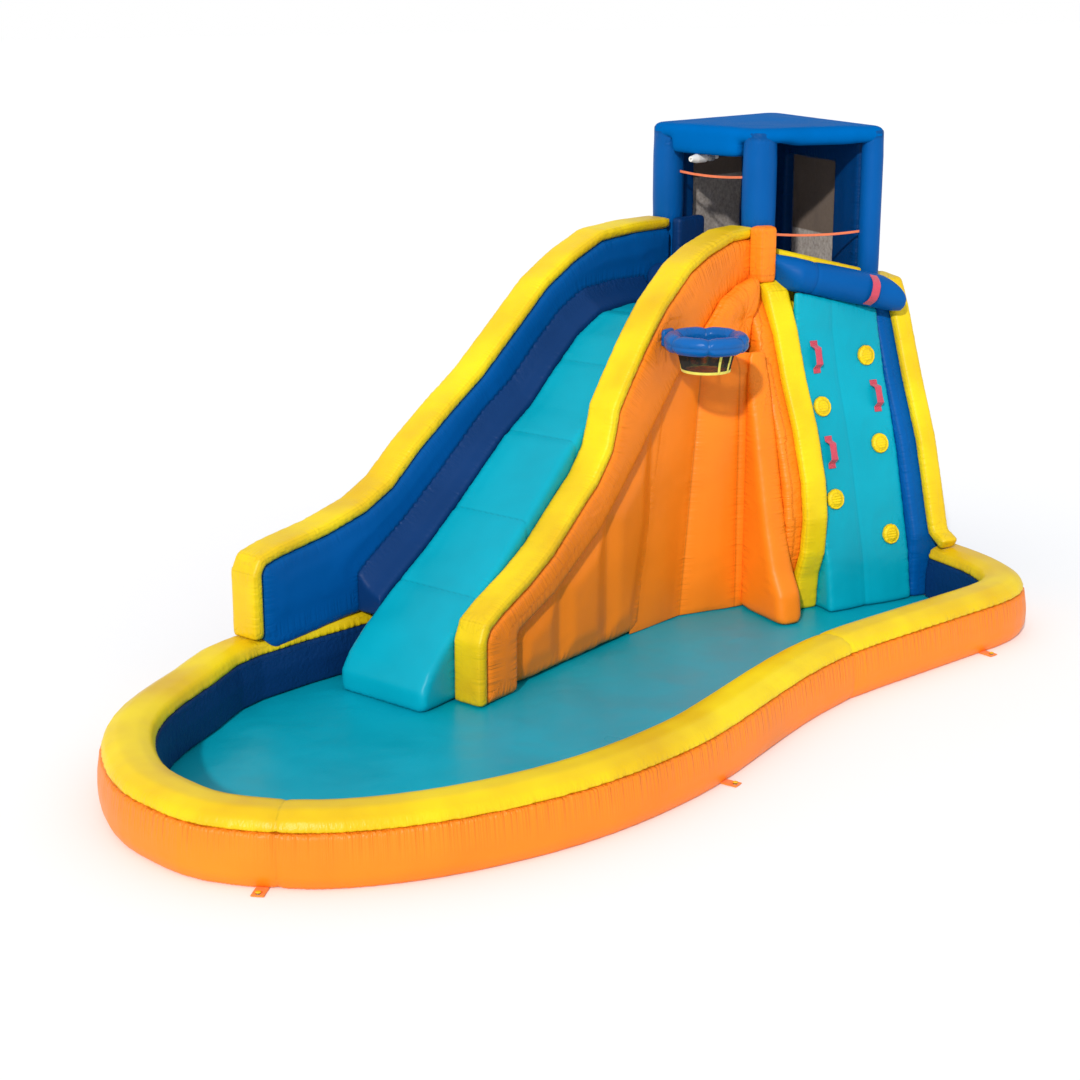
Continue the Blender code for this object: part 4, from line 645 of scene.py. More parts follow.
# %% Hang the curtain and fold it
GATHER = Vector((1.339, 0.440, 1.504))
FOLD_REACH, DIMPLE, DIMPLE_WIDTH = 0.30, 0.020, 0.05
ASLANT, FOLD_DRIFT = 0.4, 0.8     # the folds' angle is read a little askew, and they drift as they run out
FULL_ACROSS, FULL_UP = 0.7, 0.35  # powers below 1 make the cloth stand out almost up to its seams
CURTAIN_PATH = [  # foot and head of each upright seam, how far the width after it bellies out, its columns
    (Vector((0.530, 0.205)), Vector((0.800, 0.325)), 0.012, 26),
    (Vector((0.916, 0.343)), Vector((1.071, 0.413)), 0.026, 26),
    (Vector((1.249, 0.330)), Vector((1.249, 0.335)), 0.020, 14),
    (Vector((1.412, 0.330)), Vector((1.412, 0.335)), 0.0, 0),
]
CURTAIN_FOOT, CURTAIN_HEAD, CURTAIN_ROWS = 0.014, 1.345, 88
TUCK, TUCK_FROM = 0.05, 0.93  # how far the head turns in under the arch, and from which share of the height
SLACK, SLACK_SIZE = 0.006, 0.16


def gather(obj, depth, spread):
    """Folds of a given depth fan out from the stitched point, more of them where spread is greater."""
    away = read_points(obj.data)[0] - np.array(GATHER)
    length = np.linalg.norm(away, axis=1)
    angle = np.arctan2(away[:, 0] + ASLANT * away[:, 1], -away[:, 2])
    folds = np.array([noise.noise(Vector((a * spread, 0.3, r * FOLD_DRIFT))) for a, r in zip(angle, length)])
    fade = np.clip(length / DIMPLE_WIDTH, 0, 1) * np.exp(-length / FOLD_REACH)
    dimple = -DIMPLE * np.exp(-(length / DIMPLE_WIDTH) ** 2)
    lift_points(obj.data, 2 * depth * folds * fade + dimple)


points, off, seams = [], [], []
for (foot, head, belly, steps), (next_foot, next_head, later, more) in zip(CURTAIN_PATH, CURTAIN_PATH[1:]):
    along = (next_foot - foot).normalized()
    out = Vector((along.y, -along.x))
    for i in range(steps + (more == 0)):
        u = i / steps
        for j in range(CURTAIN_ROWS + 1):
            v = j / CURTAIN_ROWS
            z = CURTAIN_FOOT + (CURTAIN_HEAD - CURTAIN_FOOT) * v
            spot = foot.lerp(next_foot, u).lerp(head.lerp(next_head, u), v)
            both = (next_foot.lerp(next_head, v), foot.lerp(head, v))
            ways = [((spot - seam).length, seam) for seam in both]
            width, near = min(ways, key=lambda way: way[0])
            swell = math.sin(math.pi * u) ** FULL_ACROSS * math.sin(math.pi * min(1.0, v * 1.02)) ** FULL_UP
            tuck = max(0.0, (v - TUCK_FROM) / (1 - TUCK_FROM))
            spot += out * (belly * swell - TUCK * tuck * tuck)
            points.append((spot.x, spot.y, z))
            off.append(width)
            seams.append((near.x, near.y, z))
wide = CURTAIN_ROWS + 1
faces = [(i * wide + j, (i + 1) * wide + j, (i + 1) * wide + j + 1, i * wide + j + 1)
         for i in range(len(points) // wide - 1) for j in range(CURTAIN_ROWS)]
curtain = drawn_object("gathered_curtain", points, faces=faces)
mesh = curtain.data
smooth(mesh)
tall = np.array([1.0, 1.0, 0.35])  # slack folds are taller than wide
lift_points(mesh, noise_at(read_points(mesh)[0] * tall, SLACK_SIZE) * SLACK)
put_attributes(mesh, off, seams, np.full(len(off), FAR))
gather(curtain, depth=0.010, spread=4.0)
gather(chambers["gathered_arch"], depth=0.004, spread=2.6)
dress(curtain, NYLON["cloth"], "corner_curtain")

# %% [markdown]
# ## Geometry node tools
# Three small node trees make whatever repeats: round strands along drawn lines, for the netting; short
# stitches spaced along drawn lines; and screws set on points. Each is built here with named inputs,
# run once and kept as a plain mesh.

# %% Helpers for node trees
SOCKETS = {float: "NodeSocketFloat", int: "NodeSocketInt"}


def lines_object(name, lines):
    """A mesh of open or closed polylines, which the node trees read as paths."""
    points, edges = [], []
    for line in lines:
        start = len(points)
        points += line
        edges += [(start + i, start + i + 1) for i in range(len(line) - 1)]
    return drawn_object(name, points, edges)


def begin_tree(name, **sizes):
    """A tree that takes lines or points, named sizes and a material. It gives the tree and those inputs."""
    tree = bpy.data.node_groups.new(name, "GeometryNodeTree")
    tree.interface.new_socket("Geometry", in_out="INPUT", socket_type="NodeSocketGeometry")
    for label, value in sizes.items():
        socket = tree.interface.new_socket(label, in_out="INPUT", socket_type=SOCKETS[type(value)])
        socket.default_value = value
    tree.interface.new_socket("Material", in_out="INPUT", socket_type="NodeSocketMaterial")
    tree.interface.new_socket("Geometry", in_out="OUTPUT", socket_type="NodeSocketGeometry")
    return tree, add(tree, "NodeGroupInput").outputs


def end_tree(tree, given, geometry):
    whole = add(tree, "GeometryNodeRealizeInstances", {"Geometry": geometry})
    painted = add(tree, "GeometryNodeSetMaterial", {"Geometry": whole, "Material": given["Material"]})
    add(tree, "NodeGroupOutput", {"Geometry": painted})


def run_tree(obj, tree, **values):
    """Runs a tree on an object, with its inputs set by name, and keeps the mesh that it makes."""
    modifier = obj.modifiers.new(tree.name, "NODES")
    modifier.node_group = tree
    for item in tree.interface.items_tree:
        if item.in_out == "INPUT" and item.name in values:
            modifier[item.identifier] = values[item.name]
    return finished(obj)


# %% Strands, stitches and screws
strands, given = begin_tree("strands_along_lines", Radius=0.001, Sides=5)
paths = add(strands, "GeometryNodeMeshToCurve", {"Mesh": given["Geometry"]})
ring = add(strands, "GeometryNodeCurvePrimitiveCircle", {
    "Resolution": given["Sides"], "Radius": given["Radius"],
})
tubes = add(strands, "GeometryNodeCurveToMesh", {
    "Curve": paths, "Profile Curve": ring, "Fill Caps": True,
})
end_tree(strands, given, tubes)

THREAD_WIDTH = 0.0013
stitches, given = begin_tree("stitches_along_lines", Length=0.004, Pitch=0.006)
paths = add(stitches, "GeometryNodeMeshToCurve", {"Mesh": given["Geometry"]})
spots = add(stitches, "GeometryNodeCurveToPoints", {
    "Curve": paths, "Length": given["Pitch"],
}, mode="LENGTH").outputs
seed = add(stitches, "GeometryNodeMeshUVSphere", {"Segments": 6, "Rings": 4, "Radius": 0.5})
size = add(stitches, "ShaderNodeCombineXYZ", {"X": THREAD_WIDTH, "Y": THREAD_WIDTH, "Z": given["Length"]})
sewn = add(stitches, "GeometryNodeInstanceOnPoints", {
    "Points": spots["Points"], "Instance": seed, "Rotation": spots["Rotation"],
    "Scale": size,
})
end_tree(stitches, given, sewn)

screws, given = begin_tree("screws_on_points", Radius=0.004, Depth=0.003)
head = add(screws, "GeometryNodeMeshCylinder", {
    "Vertices": 12, "Radius": given["Radius"], "Depth": given["Depth"],
})
outward = add(screws, "GeometryNodeInputNamedAttribute", {"Name": "facing"}, data_type="FLOAT_VECTOR")
facing = add(screws, "FunctionNodeAlignRotationToVector", {"Vector": outward}, axis="Z")
placed = add(screws, "GeometryNodeInstanceOnPoints", {
    "Points": given["Geometry"], "Instance": head, "Rotation": facing,
})
end_tree(screws, given, placed)
print("node trees:", ", ".join(tree.name for tree in bpy.data.node_groups))

# %% [markdown]
# ## Plastics, webbing and netting
# Moulded parts are plain plastics: a little grain, and roughness that drifts. Webbing is a ribbed
# weave. The netting is dark knitted thread, and paler low down, where the sun reaches it in the photo.

# %% The other finishes
RIB = 0.0016  # metres from rib to rib in webbing
PLASTIC_IOR = 1.50
SHADE_EDGE = 0.004  # half the height over which one colour of the netting gives way to the other


def plastic(name, code, gloss, grain=0.0002):
    material, tree, shader, place = new_material(name)
    cloud = add(tree, "ShaderNodeTexNoise", {"Vector": place, "Scale": 14.0, "Detail": 4.0})
    speck = add(tree, "ShaderNodeTexNoise", {"Vector": place, "Scale": 900.0, "Detail": 2.0})
    tone = add(tree, "ShaderNodeMix", {0: cloud, 6: shade(code, 0.92), 7: shade(code, 1.05)}, data_type="RGBA")
    rough = add(tree, "ShaderNodeMapRange", {
        "Value": cloud, **MIDDLE, "To Min": gloss - 0.06, "To Max": gloss + 0.08,
    })
    bump = add(tree, "ShaderNodeBump", {"Height": speck, "Distance": grain, "Strength": 0.6})
    feed(shader, {"Base Color": tone.outputs[2], "Roughness": rough, "Normal": bump, "IOR": PLASTIC_IOR})
    return material


def webbing(name, code, rib=RIB):
    material, tree, shader, place = new_material(name)
    ribs = {"Vector": place, "Scale": WAVE_PITCH / rib}
    one = add(tree, "ShaderNodeTexWave", ribs, bands_direction="Z").outputs["Fac"]
    two = add(tree, "ShaderNodeTexWave", {
        **ribs, "Distortion": 1.0,
    }, bands_direction="DIAGONAL").outputs["Fac"]
    both = add(tree, "ShaderNodeMath", {0: one, 1: two}, operation="MULTIPLY")
    worn = add(tree, "ShaderNodeTexNoise", {"Vector": place, "Scale": 30.0, "Detail": 3.0})
    blend = add(tree, "ShaderNodeMath", {0: both, 1: 0.6, 2: worn}, operation="MULTIPLY_ADD")
    tone = add(tree, "ShaderNodeMix", {0: blend, 6: shade(code, 0.72), 7: shade(code, 1.12)}, data_type="RGBA")
    bump = add(tree, "ShaderNodeBump", {"Height": both, "Distance": 0.0006, "Strength": 0.8})
    feed(shader, {"Base Color": tone.outputs[2], "Normal": bump, "Roughness": 0.68, "Sheen Weight": 0.2})
    return material


def netting(name, high, low, height):
    """Knitted thread, one colour above the given height and another below it."""
    material, tree, shader, place = new_material(name)
    up = add(tree, "ShaderNodeSeparateXYZ", {"Vector": place}).outputs["Z"]
    share = add(tree, "ShaderNodeMapRange", {
        "Value": up, "From Min": height - SHADE_EDGE, "From Max": height + SHADE_EDGE,
    })
    fuzz = add(tree, "ShaderNodeTexNoise", {"Vector": place, "Scale": 60.0, "Detail": 3.0})
    tone = add(tree, "ShaderNodeMix", {0: share, 6: linear(low), 7: linear(high)}, data_type="RGBA").outputs[2]
    mottled = add(tree, "ShaderNodeMix", {0: fuzz, 6: tone, 7: shade(high, 0.7)}, data_type="RGBA").outputs[2]
    feed(shader, {"Base Color": mottled, "Roughness": 0.8})
    return material


WEB = {name: webbing(f"nylon_webbing_{name}", HEX[code]) for name, code in (
    ("pink", "pink"), ("salmon", "salmon"), ("pale_yellow", "pale_yellow"), ("orange", "orange"),
    ("navy", "tape_navy"),
)}
thread_pink = webbing("polyester_thread_pink", HEX["thread"], rib=0.0005)
net_black = netting("knitted_net_black", HEX["net"], HEX["net"], 0.0)
steel = plastic("zinc_plated_steel", HEX["steel"], gloss=0.3)
feed(steel.node_tree.nodes["Principled BSDF"], {"Metallic": 1.0})
print("materials so far:", len(bpy.data.materials))

# %% [markdown]
# ## The hard pieces
# The nozzle, its coupling nut and the blower are moulded plastic with the right shape already in the
# solids. They keep those solids and take a finish each.

# %% Finish the hard pieces
HARD = {
    "spray_nozzle": ("acetal_white", "white", 0.28, 0.0002),
    "hose_coupling_nut": ("abs_grey", "grey", 0.40, 0.0002),
    "blower_housing": ("polypropylene_blue", "housing", 0.42, 0.0004),
    "blower_motor": ("polypropylene_black", "black", 0.45, 0.0004),
    "blower_grille": ("abs_black", "grille", 0.38, 0.0002),
    "blower_impeller": ("nylon_impeller_grey", "fan", 0.40, 0.0002),
    "blower_switch": ("abs_red", "red", 0.30, 0.0002),
}
for node, (label, code, gloss, grain) in HARD.items():
    mesh = nodes[node].data
    mesh.materials.clear()
    mesh.materials.append(plastic(label, HEX[code], gloss, grain))
    mesh.polygons.foreach_set("use_smooth", [False] * len(mesh.polygons))
print("kept as modelled:", ", ".join(HARD))

# %% [markdown]
# ## Screws round the blower's grille
# A blower's grille is screwed to its housing. Eight rays are cast at it from in front, evenly round the
# fan's axis, and a screw head is set wherever one meets a face that looks the same way.

# %% Set the screws
AXIS = Vector((-0.948324, -0.317305, 0.0))  # the impeller's axis, out of the grille
HUB = Vector((0.583985, 1.68495, 0.18))
SCREWS, SCREW_CIRCLE, SCREW_PROUD = 8, 0.134, 0.0008
RAY_START = 0.4  # in front of the hub
SAME_WAY = 0.9   # least cosine between a face that takes a screw and the axis


def search_tree(mesh):
    points, faces = [v.co.copy() for v in mesh.vertices], [tuple(p.vertices) for p in mesh.polygons]
    return BVHTree.FromPolygons(points, faces)


shells = [search_tree(nodes[node].data) for node in ("blower_housing", "blower_grille")]
spots = []
for i in range(SCREWS):
    turn = 2 * math.pi * (i + 0.5) / SCREWS
    aside = AXIS.cross(UP) * math.cos(turn) + UP * math.sin(turn)
    hits = [shell.ray_cast(HUB + AXIS * RAY_START + aside * SCREW_CIRCLE, -AXIS) for shell in shells]
    hits = sorted((hit for hit in hits if hit[0] is not None), key=lambda hit: hit[3])
    if hits and hits[0][1].dot(AXIS) > SAME_WAY:
        spots.append(hits[0][0] + AXIS * SCREW_PROUD)
dots = lines_object("blower_screws", [[spot] for spot in spots])
facing = dots.data.attributes.new("facing", "FLOAT_VECTOR", "POINT")
facing.data.foreach_set("vector", list(AXIS) * len(spots))
trim(run_tree(dots, screws, Radius=0.0042, Depth=0.0030, Material=steel), steel)
print(len(spots), "screws round the grille")

# %% [markdown]
# ## The pool floor
# The floor is one sheet of coated nylon lying on the grass under the walls. It is made as a net of
# points inside the solid's outline, with soft wrinkles a few millimetres high.

# %% The floor sheet
GRID = 0.034
ROW = 0.87    # a row's share of the grid, so that the faces are nearly equal-sided
SINK = 0.003  # below the solid's top, so that the wrinkles stay within it
WRINKLES = ((0.28, 0.0035, 1.0), (0.09, 0.0015, 1.6))  # size, height and how much narrower than long


def outline_of(node):
    """The outer loop of a flat solid's underside."""
    work = merged(node)
    low = min(v.co.z for v in work.verts)
    flat = [f for f in work.faces if all(v.co.z < low + 0.001 for v in f.verts)]
    inside = {f.index for f in flat}
    following = {}
    for face in flat:
        for loop in face.loops:
            if not any(f.index in inside for f in loop.edge.link_faces if f is not face):
                following[loop.vert.index] = loop.link_loop_next.vert.index
    first = index = next(iter(following))
    ring = []
    while True:
        ring.append(Vector(work.verts[index].co.xy))
        index = following[index]
        if index == first:
            break
    work.free()
    return ring


ring = outline_of("pool_floor")
edge = []
for here, there in zip(ring, ring[1:] + ring[:1]):
    steps = max(1, round((there - here).length / GRID))
    edge += [here.lerp(there, i / steps) for i in range(steps)]
low = [min(p[i] for p in edge) for i in (0, 1)]
high = [max(p[i] for p in edge) for i in (0, 1)]
spots = [
    Vector((low[0] + GRID * (i + 0.5 * (j % 2)), low[1] + GRID * ROW * j))
    for j in range(1, int((high[1] - low[1]) / GRID / ROW))
    for i in range(1, int((high[0] - low[0]) / GRID))
]
flat_points, flat_edges, flat_faces = delaunay_2d_cdt(edge + spots, [], [list(range(len(edge)))], 1, 0.002)[:3]
floor_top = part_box("pool_floor")[1].z
flat_points = [(p.x, p.y, floor_top - SINK) for p in flat_points]
floor_sheet = drawn_object("floor_sheet", flat_points, faces=flat_faces)
mesh = floor_sheet.data
points = read_points(mesh)[0]
wave = sum(height * noise_at(points * np.array([1.0, narrow, 1.0]), size)
           for size, height, narrow in WRINKLES)
write_points(mesh, points + np.outer(wave, UP))
smooth(mesh)
put_attributes(mesh, np.full(len(points), FAR), points, np.full(len(points), FAR))
dress(floor_sheet, NYLON["teal"], "pool_floor")

# %% [markdown]
# ## Footholds
# Each foothold is a padded disc: a plump rim gathered round a sunk middle that is quilted across. The
# solid gives its size and seat. The rim gets gathers by angle and the middle gets ribs by height.

# %% Shape the footholds
TOWER_MIDDLE = Vector((1.9, 1.1))
BOWL, BOWL_EDGE, RIM_START, RIM_EDGE, RIM_SEAMS = 0.034, 0.010, 0.030, 0.008, (0.031, 0.051)
GATHER_DEPTH, GATHERS, RIB_DEPTH, RIB_PITCH = 0.0022, 4, 0.0016, 0.0135
SEAM_EDGE = 0.002  # keeps the seam's shadow soft on so small a piece


def flat_frame(node):
    """Middle, and the widest, narrower and thinnest directions of a flat solid."""
    work = merged(node)
    points = np.array([v.co for v in work.verts])
    work.free()
    middle = points.mean(axis=0)
    values, axes = np.linalg.eigh(np.cov((points - middle).T))
    return Vector(middle), Vector(axes[:, 2]), Vector(axes[:, 1]), Vector(axes[:, 0])


def measured(points, middle, *axes):
    """How far the points lie from the middle along each axis."""
    return ((points - np.array(middle)) @ np.array(axis) for axis in axes)


def facing_out(direction, middle):
    """The direction turned away from the tower's middle."""
    out = middle - Vector((*TOWER_MIDDLE, middle.z))
    return direction if direction.dot(out) > 0 else -direction


for number, node in enumerate(FOOTHOLDS, 1):
    middle, wide, narrow, thin = flat_frame(node)
    out = facing_out(thin, middle)
    up = (UP - out * out.z).normalized()
    across = up.cross(out)
    obj = rounded(f"padded_{node}", node, 0.0024, 4)
    points, normals = read_points(obj.data)
    x, y = measured(points, middle, across, up)
    radius, angle = np.hypot(x, y), np.arctan2(y, x)
    front = normals @ np.array(out) > 0.1
    bowl = np.clip((BOWL - radius) / BOWL_EDGE, 0, 1) * front
    rim = np.clip((radius - RIM_START) / RIM_EDGE, 0, 1)
    gathers = np.array([
        noise.noise(Vector((math.cos(a) * GATHERS, math.sin(a) * GATHERS, number))) for a in angle
    ])
    lift = rim * GATHER_DEPTH * gathers + bowl * RIB_DEPTH * np.sin(y * 2 * math.pi / RIB_PITCH)
    lift_points(obj.data, lift)
    off = np.min([np.abs(radius - seam) for seam in RIM_SEAMS], axis=0) + SEAM_EDGE
    put_attributes(obj.data, off, points, np.full(len(points), FAR))
    dress(obj, NYLON["yellow"], node)
print("footholds shaped")

# %% [markdown]
# ## Webbing: handles, straps and anchor tabs
# All of it is folded nylon webbing sewn down at its ends. A fine remesh softens the solid's corners as
# the weave does, the middle of each handle narrows a little under the hand's pull, and rows of thread
# are set on the surface by the stitch tree.

# %% Soften the webbing
STRAP_NARROWING = 0.6  # a strap pulled tight is narrower than it lies flat
SWOLLEN_WALL = 0.0085  # how far the swollen climbing wall stands out past its solid, under the handles
SWOLLEN_BAR = 0.002
WAIST, WAIST_LENGTH = 0.16, 0.040
MARGIN, ROW_OUT, ROW_IN = 0.005, 0.004, 0.026  # of the thread, from the sides and the end of the webbing
ROW_STEPS = 12
RIPPLE_SIZE = 0.012
DROP_FROM, THREAD_PROUD = 0.06, 0.0002  # where the thread is dropped from, and how far it stands out
HANDLES = {
    "climb_grip_1": "climb_handle_1", "climb_grip_2": "climb_handle_2", "climb_grip_3": "climb_handle_3",
    "climb_bar_grip": "climb_bar_handle", "slide_bar_grip": "slide_bar_handle",
}


def webbing_piece(name, node, finish, voxel=0.0016, rounds=4, ripple=0.0006):
    obj = rounded(name, node, voxel, rounds)
    lift_points(obj.data, ripple * noise_at(read_points(obj.data)[0], RIPPLE_SIZE))
    return dress(obj, finish, node)


def sewn_row(loop, tree, middle, along, across, out):
    """A drawn line of thread, dropped on to the surface under it."""
    row = []
    for (a0, b0), (a1, b1) in zip(loop, loop[1:]):
        for i in range(ROW_STEPS + 1):
            a, b = a0 + (a1 - a0) * i / ROW_STEPS, b0 + (b1 - b0) * i / ROW_STEPS
            start = middle + along * a + across * b + out * DROP_FROM
            hit = tree.ray_cast(start, -out, 2 * DROP_FROM)[0]
            if hit is not None:
                row.append(hit + out * THREAD_PROUD)
    return row


sewn_rows = {}
for name, node in HANDLES.items():
    obj = webbing_piece(name, node, WEB["pink"])
    middle, long, wide, thin = flat_frame(node)
    out = facing_out(thin, middle)
    lift = out * (SWOLLEN_WALL if "grip_" in name else SWOLLEN_BAR)
    points = read_points(obj.data)[0]
    along, across = measured(points, middle, long, wide)
    waist = -WAIST * np.exp(-(along / WAIST_LENGTH) ** 2)
    write_points(obj.data, points + np.array(lift) + np.outer(across * waist, wide))
    tree = search_tree(obj.data)
    half, side = np.abs(along).max(), np.abs(across).max() - MARGIN
    sewn_rows[name] = []
    for end in (-1, 1):
        outer, inner = half - ROW_OUT, half - ROW_IN
        corners = [(outer, -side), (outer, side), (inner, side), (inner, -side)]
        for loop in (corners + corners[:1], corners[::2], corners[1::2]):
            row = sewn_row(loop, tree, middle + lift, long * end, wide, out)
            if len(row) > 1:
                sewn_rows[name].append(row)

for name, node in (("slide_mouth_strap", "strap_front_left"), ("climb_mouth_strap", "strap_front_right")):
    strap = webbing_piece(name, node, WEB["salmon"], voxel=0.0013, rounds=2, ripple=0.0003)
    points = read_points(strap.data)[0]
    along = (points - points.mean(axis=0)) @ np.array(flat_frame(node)[1])
    middle = np.polyval(np.polyfit(along, points[:, 2], 2), along)
    points[:, 2] = middle + STRAP_NARROWING * (points[:, 2] - middle)
    write_points(strap.data, points)
for number in range(1, 4):
    webbing_piece(f"ground_tab_{number}", f"anchor_tab_{number}", WEB["orange"])
for name, rows in sewn_rows.items():
    trim(run_tree(lines_object(name + "_thread", rows), stitches, Material=thread_pink), thread_pink)
print(len(sewn_rows), "handles sewn;", sum(len(rows) for rows in sewn_rows.values()), "rows of thread")

# %% [markdown]
# ## Grommets and pegs
# Each ground tab has a pressed steel grommet, with the head of a plastic peg through it.

# %% Turn the grommets and pegs
TURNS = 28            # faces round a turned piece
PEG_FROM_END = 0.020  # from the tab's middle towards its outer end


def turned(name, profile, place, finish):
    """A profile of radius and height turned round an upright axis."""
    work = bmesh.new()
    angles = [2 * math.pi * i / TURNS for i in range(TURNS)]
    rings = [[work.verts.new((radius * math.cos(a), radius * math.sin(a), height)) for a in angles]
             for radius, height in profile]
    for one, two in zip(rings, rings[1:]):
        for i in range(TURNS):
            work.faces.new((one[i], one[(i + 1) % TURNS], two[(i + 1) % TURNS], two[i]))
    if profile[0] != profile[-1]:
        work.faces.new(rings[0][::-1])
        work.faces.new(rings[-1])
    bmesh.ops.transform(work, matrix=Matrix.Translation(place), verts=work.verts)
    bmesh.ops.remove_doubles(work, verts=work.verts, dist=1e-6)
    bmesh.ops.recalc_face_normals(work, faces=work.faces)
    obj = worked_object(name, work)
    smooth(obj.data)
    trim(obj, finish)


peg_yellow = plastic("polypropylene_yellow", HEX["peg"], gloss=0.4)
GROMMET_RADIUS, GROMMET_WIDTH, GROMMET_HEIGHT = 0.0075, 0.0025, 0.0014
GROMMET = [(GROMMET_RADIUS + GROMMET_WIDTH * math.cos(a), GROMMET_HEIGHT * math.sin(a)) for a in
           [2 * math.pi * i / 12 for i in range(13)]]
PEG = [(0.0, -0.004), (0.0045, -0.004), (0.0045, 0.0045), (0.0095, 0.0050), (0.0115, 0.0065),
       (0.0110, 0.0085), (0.0070, 0.0100), (0.0, 0.0104)]  # radius and height, from the shank to the crown
for number in range(1, 4):
    middle, long, wide, thin = flat_frame(f"anchor_tab_{number}")
    out = long if long.dot(middle - Vector((0.0, -0.6, middle.z))) > 0 else -long
    place = middle + out * PEG_FROM_END
    place.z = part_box(f"anchor_tab_{number}")[1].z
    turned(f"grommet_{number}", GROMMET, place, steel)
    turned(f"peg_head_{number}", PEG, place, peg_yellow)
print("three tabs pegged")

# %% [markdown]
# ## Window screens
# Each window is a knitted screen inside a taped border. The threads are drawn as lines from edge to
# edge, a little slack, and given their thickness by the strand tree.

# %% Knit the screens
MESH_PITCH = 0.0055
THREAD_RADIUS = 0.0024  # thicker than the real thread, so that the net is as dense as it looks
THREAD_STEPS = 14
THREAD_SLACK, THREAD_WANDER = 0.0014, 0.0003
OTHER_NOISE = Vector((7, 0, 0))  # a step aside, so that slack and wander differ
UNDER_TAPE = 0.985               # of the way to the window's edge, so that a thread ends under the tape
TAPE, TAPE_THICK = 0.014, 0.003
TAPE_CUTS, TAPE_RIPPLE, TAPE_RIPPLE_SIZE = 24, 0.0008, 0.05
SOFT_EDGE = 0.3                  # of a tape's thickness
SUNLINE = {"left": 2.13, "right": 1.83}  # above this height the roof shades the screen


def taped(name, middle, wide, high, out, half_wide, half_high):
    """A flat tape round a rectangle."""
    work = bmesh.new()
    loops = []
    for inset, lift in ((0, -1), (TAPE, -1), (TAPE, 1), (0, 1)):
        a, b = half_wide - inset, half_high - inset
        loops.append([work.verts.new(middle + wide * x + high * y + out * lift * TAPE_THICK / 2)
                      for x, y in ((a, b), (-a, b), (-a, -b), (a, -b))])
    for one, two in zip(loops, loops[1:] + loops[:1]):
        for j in range(4):
            work.faces.new((one[j], two[j], two[(j + 1) % 4], one[(j + 1) % 4]))
    bmesh.ops.recalc_face_normals(work, faces=work.faces)
    long_edges = [e for e in work.edges if e.calc_length() > 2 * TAPE]
    bmesh.ops.subdivide_edges(work, edges=long_edges, cuts=TAPE_CUTS, use_grid_fill=True)
    obj = worked_object(name, work)
    soft = obj.modifiers.new("Rounded", "BEVEL")
    soft.width, soft.segments, soft.limit_method = TAPE_THICK * SOFT_EDGE, 2, "ANGLE"
    finished(obj)
    points = read_points(obj.data)[0]
    write_points(obj.data, points + np.outer(TAPE_RIPPLE * noise_at(points, TAPE_RIPPLE_SIZE), out))
    trim(obj, WEB["navy"])


for side, height in SUNLINE.items():
    node = f"window_net_{side}"
    low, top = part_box(node)
    middle, half_high = (low + top) / 2, (top.z - low.z) / 2
    half_wide = math.hypot(top.x - low.x, top.y - low.y) / 2
    wide = flat_frame(node)[2]
    wide = (wide - UP * wide.z).normalized()
    out = facing_out(wide.cross(UP).normalized(), middle)
    lines = []
    for one, two, reach, span in ((wide, UP, half_wide, half_high), (UP, wide, half_high, half_wide)):
        count = int(2 * reach / MESH_PITCH)
        for i in range(1, count):
            start = middle + one * (reach * (2 * i / count - 1))
            line = []
            for j in range(THREAD_STEPS + 1):
                spot = start + two * (span * UNDER_TAPE * (2 * j / THREAD_STEPS - 1))
                slack = THREAD_SLACK * noise.noise(spot * 4)
                wander = THREAD_WANDER * noise.noise(spot * 6 + OTHER_NOISE)
                line.append(spot + out * slack + one * wander)
            lines.append(line)
    cloth = netting(f"knitted_screen_{side}", HEX["shaded_net"], HEX["sunlit_net"], height)
    drawn = lines_object(f"screen_{side}", lines)
    screen = run_tree(drawn, strands, Radius=THREAD_RADIUS, Sides=4, Material=cloth)
    dress(screen, cloth, node)
    taped(f"screen_tape_{side}", middle, wide, UP, out, half_wide, half_high)
    print(side, "screen:", len(lines), "threads,", len(screen.data.polygons), "faces")

# %% [markdown]
# ## The hoop's net
# A cone of black netting hangs from the tube, with a pale yellow binding at its foot and pale yellow
# tapes up its sides. The diamond mesh is drawn as two families of lines wound round the cone.

# %% Hang the net
net_low, net_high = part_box("hoop_net")
NET_TOP_RADIUS = (net_high.x - net_low.x) / 2 - 0.003
NET_FOOT_RADIUS = 0.117
NET_TOP, NET_FOOT = net_high.z - 0.002, net_low.z + 0.006
CONE_CURVE, NET_RIPPLES, NET_RIPPLE = 1.4, 5, 0.0025
STRANDS, STRAND_TURN = 110, 0.42  # strands each way round, and how far each winds, in radians
TAPE_ANGLES = (-1.15, -1.62, 0.9, 2.4)
HALF_TAPE, TAPE_OUT = 0.052, 0.0045  # radians, and metres out from the net
NET_TAPE_THICK = 0.0022
BINDING = 0.013 / (NET_TOP - NET_FOOT)


def on_cone(angle, share, out=0.0):
    """A point on the net: share 0 at its foot and 1 at the tube."""
    radius = NET_FOOT_RADIUS + (NET_TOP_RADIUS - NET_FOOT_RADIUS) * max(share, 0.0) ** CONE_CURVE + out
    radius += NET_RIPPLE * math.sin(NET_RIPPLES * angle) * (1 - share) * share * 4
    return Vector((HOOP.x + radius * math.cos(angle), HOOP.y + radius * math.sin(angle),
                   NET_FOOT + (NET_TOP - NET_FOOT) * share))


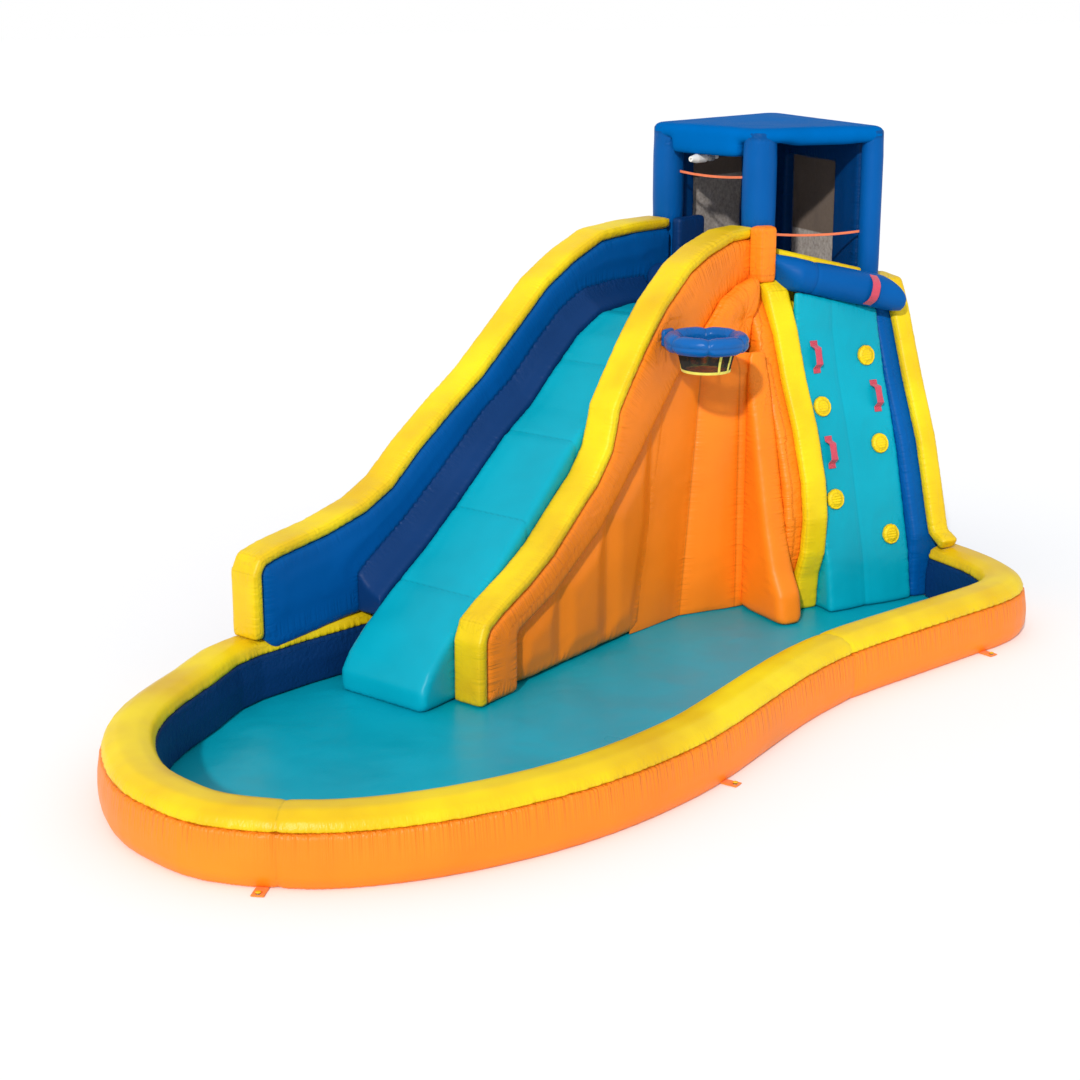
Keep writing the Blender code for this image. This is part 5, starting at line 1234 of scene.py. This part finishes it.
def tape_strip(name, rows):
    """A strip through rows of points, given the thickness of webbing and soft edges."""
    wide = len(rows[0])
    faces = [(i * wide + j, i * wide + j + 1, (i + 1) * wide + j + 1, (i + 1) * wide + j)
             for i in range(len(rows) - 1) for j in range(wide - 1)]
    obj = drawn_object(name, [point for row in rows for point in row], faces=faces)
    thick = obj.modifiers.new("Thickness", "SOLIDIFY")
    thick.thickness, thick.offset = NET_TAPE_THICK, 0.0
    soft = obj.modifiers.new("Soft edges", "BEVEL")
    soft.width, soft.segments = NET_TAPE_THICK * SOFT_EDGE, 2
    finished(obj)
    smooth(obj.data)
    trim(obj, WEB["pale_yellow"])


lines = [[on_cone(2 * math.pi * i / STRANDS + twist * STRAND_TURN * j / 10, j / 10) for j in range(11)]
         for i in range(STRANDS) for twist in (-1, 1)]
net = run_tree(lines_object("hoop_netting", lines), strands, Radius=0.0016, Sides=5, Material=net_black)
dress(net, net_black, "hoop_net")
tape_strip("net_binding", [
    [on_cone(2 * math.pi * i / 96, BINDING * (k / 3 - 0.3), 0.002) for k in range(4)] for i in range(97)
])
for number, angle in enumerate(TAPE_ANGLES, 1):
    tape_strip(f"net_tape_{number}", [
        [on_cone(angle + HALF_TAPE * (k / 2 - 1), j / 14, TAPE_OUT) for k in range(5)] for j in range(15)
    ])
print("net:", len(lines), "strands,", len(net.data.polygons), "faces")

# %% [markdown]
# ## Stage, light and camera
# A pale floor and a pale room. The sun is soft and comes from high on the left, so that the hoop's
# shadow falls down and to the right of it. The camera stands where the photo was taken from.

# %% Stage
HALF, UNDER = 90, -0.002
corners = [(x * HALF, y * HALF, UNDER) for x, y in ((-1, -1), (1, -1), (1, 1), (-1, 1))]
ground = drawn_object("ground", corners, faces=[(0, 1, 2, 3)])
pale, tree, shader, place = new_material("pale_floor")
feed(shader, {"Base Color": (0.95, 0.95, 0.95, 1.0), "Roughness": 0.9})
ground.data.materials.append(pale)

scene = bpy.context.scene
scene.world = bpy.data.worlds.new("room")
scene.world.use_nodes = True
tree = scene.world.node_tree
sky = tree.nodes["Background"]
feed(sky, {"Color": (0.95, 0.97, 1.0, 1.0), "Strength": 0.74})
white = add(tree, "ShaderNodeBackground", {"Color": (1.0, 1.0, 1.0, 1.0), "Strength": 1.0})
seen = add(tree, "ShaderNodeLightPath").outputs["Is Camera Ray"]
both = add(tree, "ShaderNodeMixShader", {0: seen, 1: sky, 2: white})
feed(tree.nodes["World Output"], {"Surface": both})

lamp = bpy.data.lights.new("sun", "SUN")
lamp.energy, lamp.angle, lamp.color = 2.5, math.radians(2.5), (1.0, 0.98, 0.95)
sun = new_object("sun", lamp)
sun.rotation_euler = Vector((0.331, 0.347, -0.268)).to_track_quat("-Z", "Y").to_euler()

# %% Camera
lens = bpy.data.cameras.new("camera")
lens.lens, lens.sensor_width = 66.67, 36.0
camera = new_object("camera", lens)
camera.location = (-4.48, -7.91, 3.22)
pitch, yaw = math.radians(15.9), math.radians(29.0)
ahead = Vector((math.sin(yaw) * math.cos(pitch), math.cos(yaw) * math.cos(pitch), -math.sin(pitch)))
camera.rotation_euler = ahead.to_track_quat("-Z", "Y").to_euler()
scene.camera = camera
scene.render.resolution_x = scene.render.resolution_y = 1080
scene.view_settings.view_transform = "Standard"
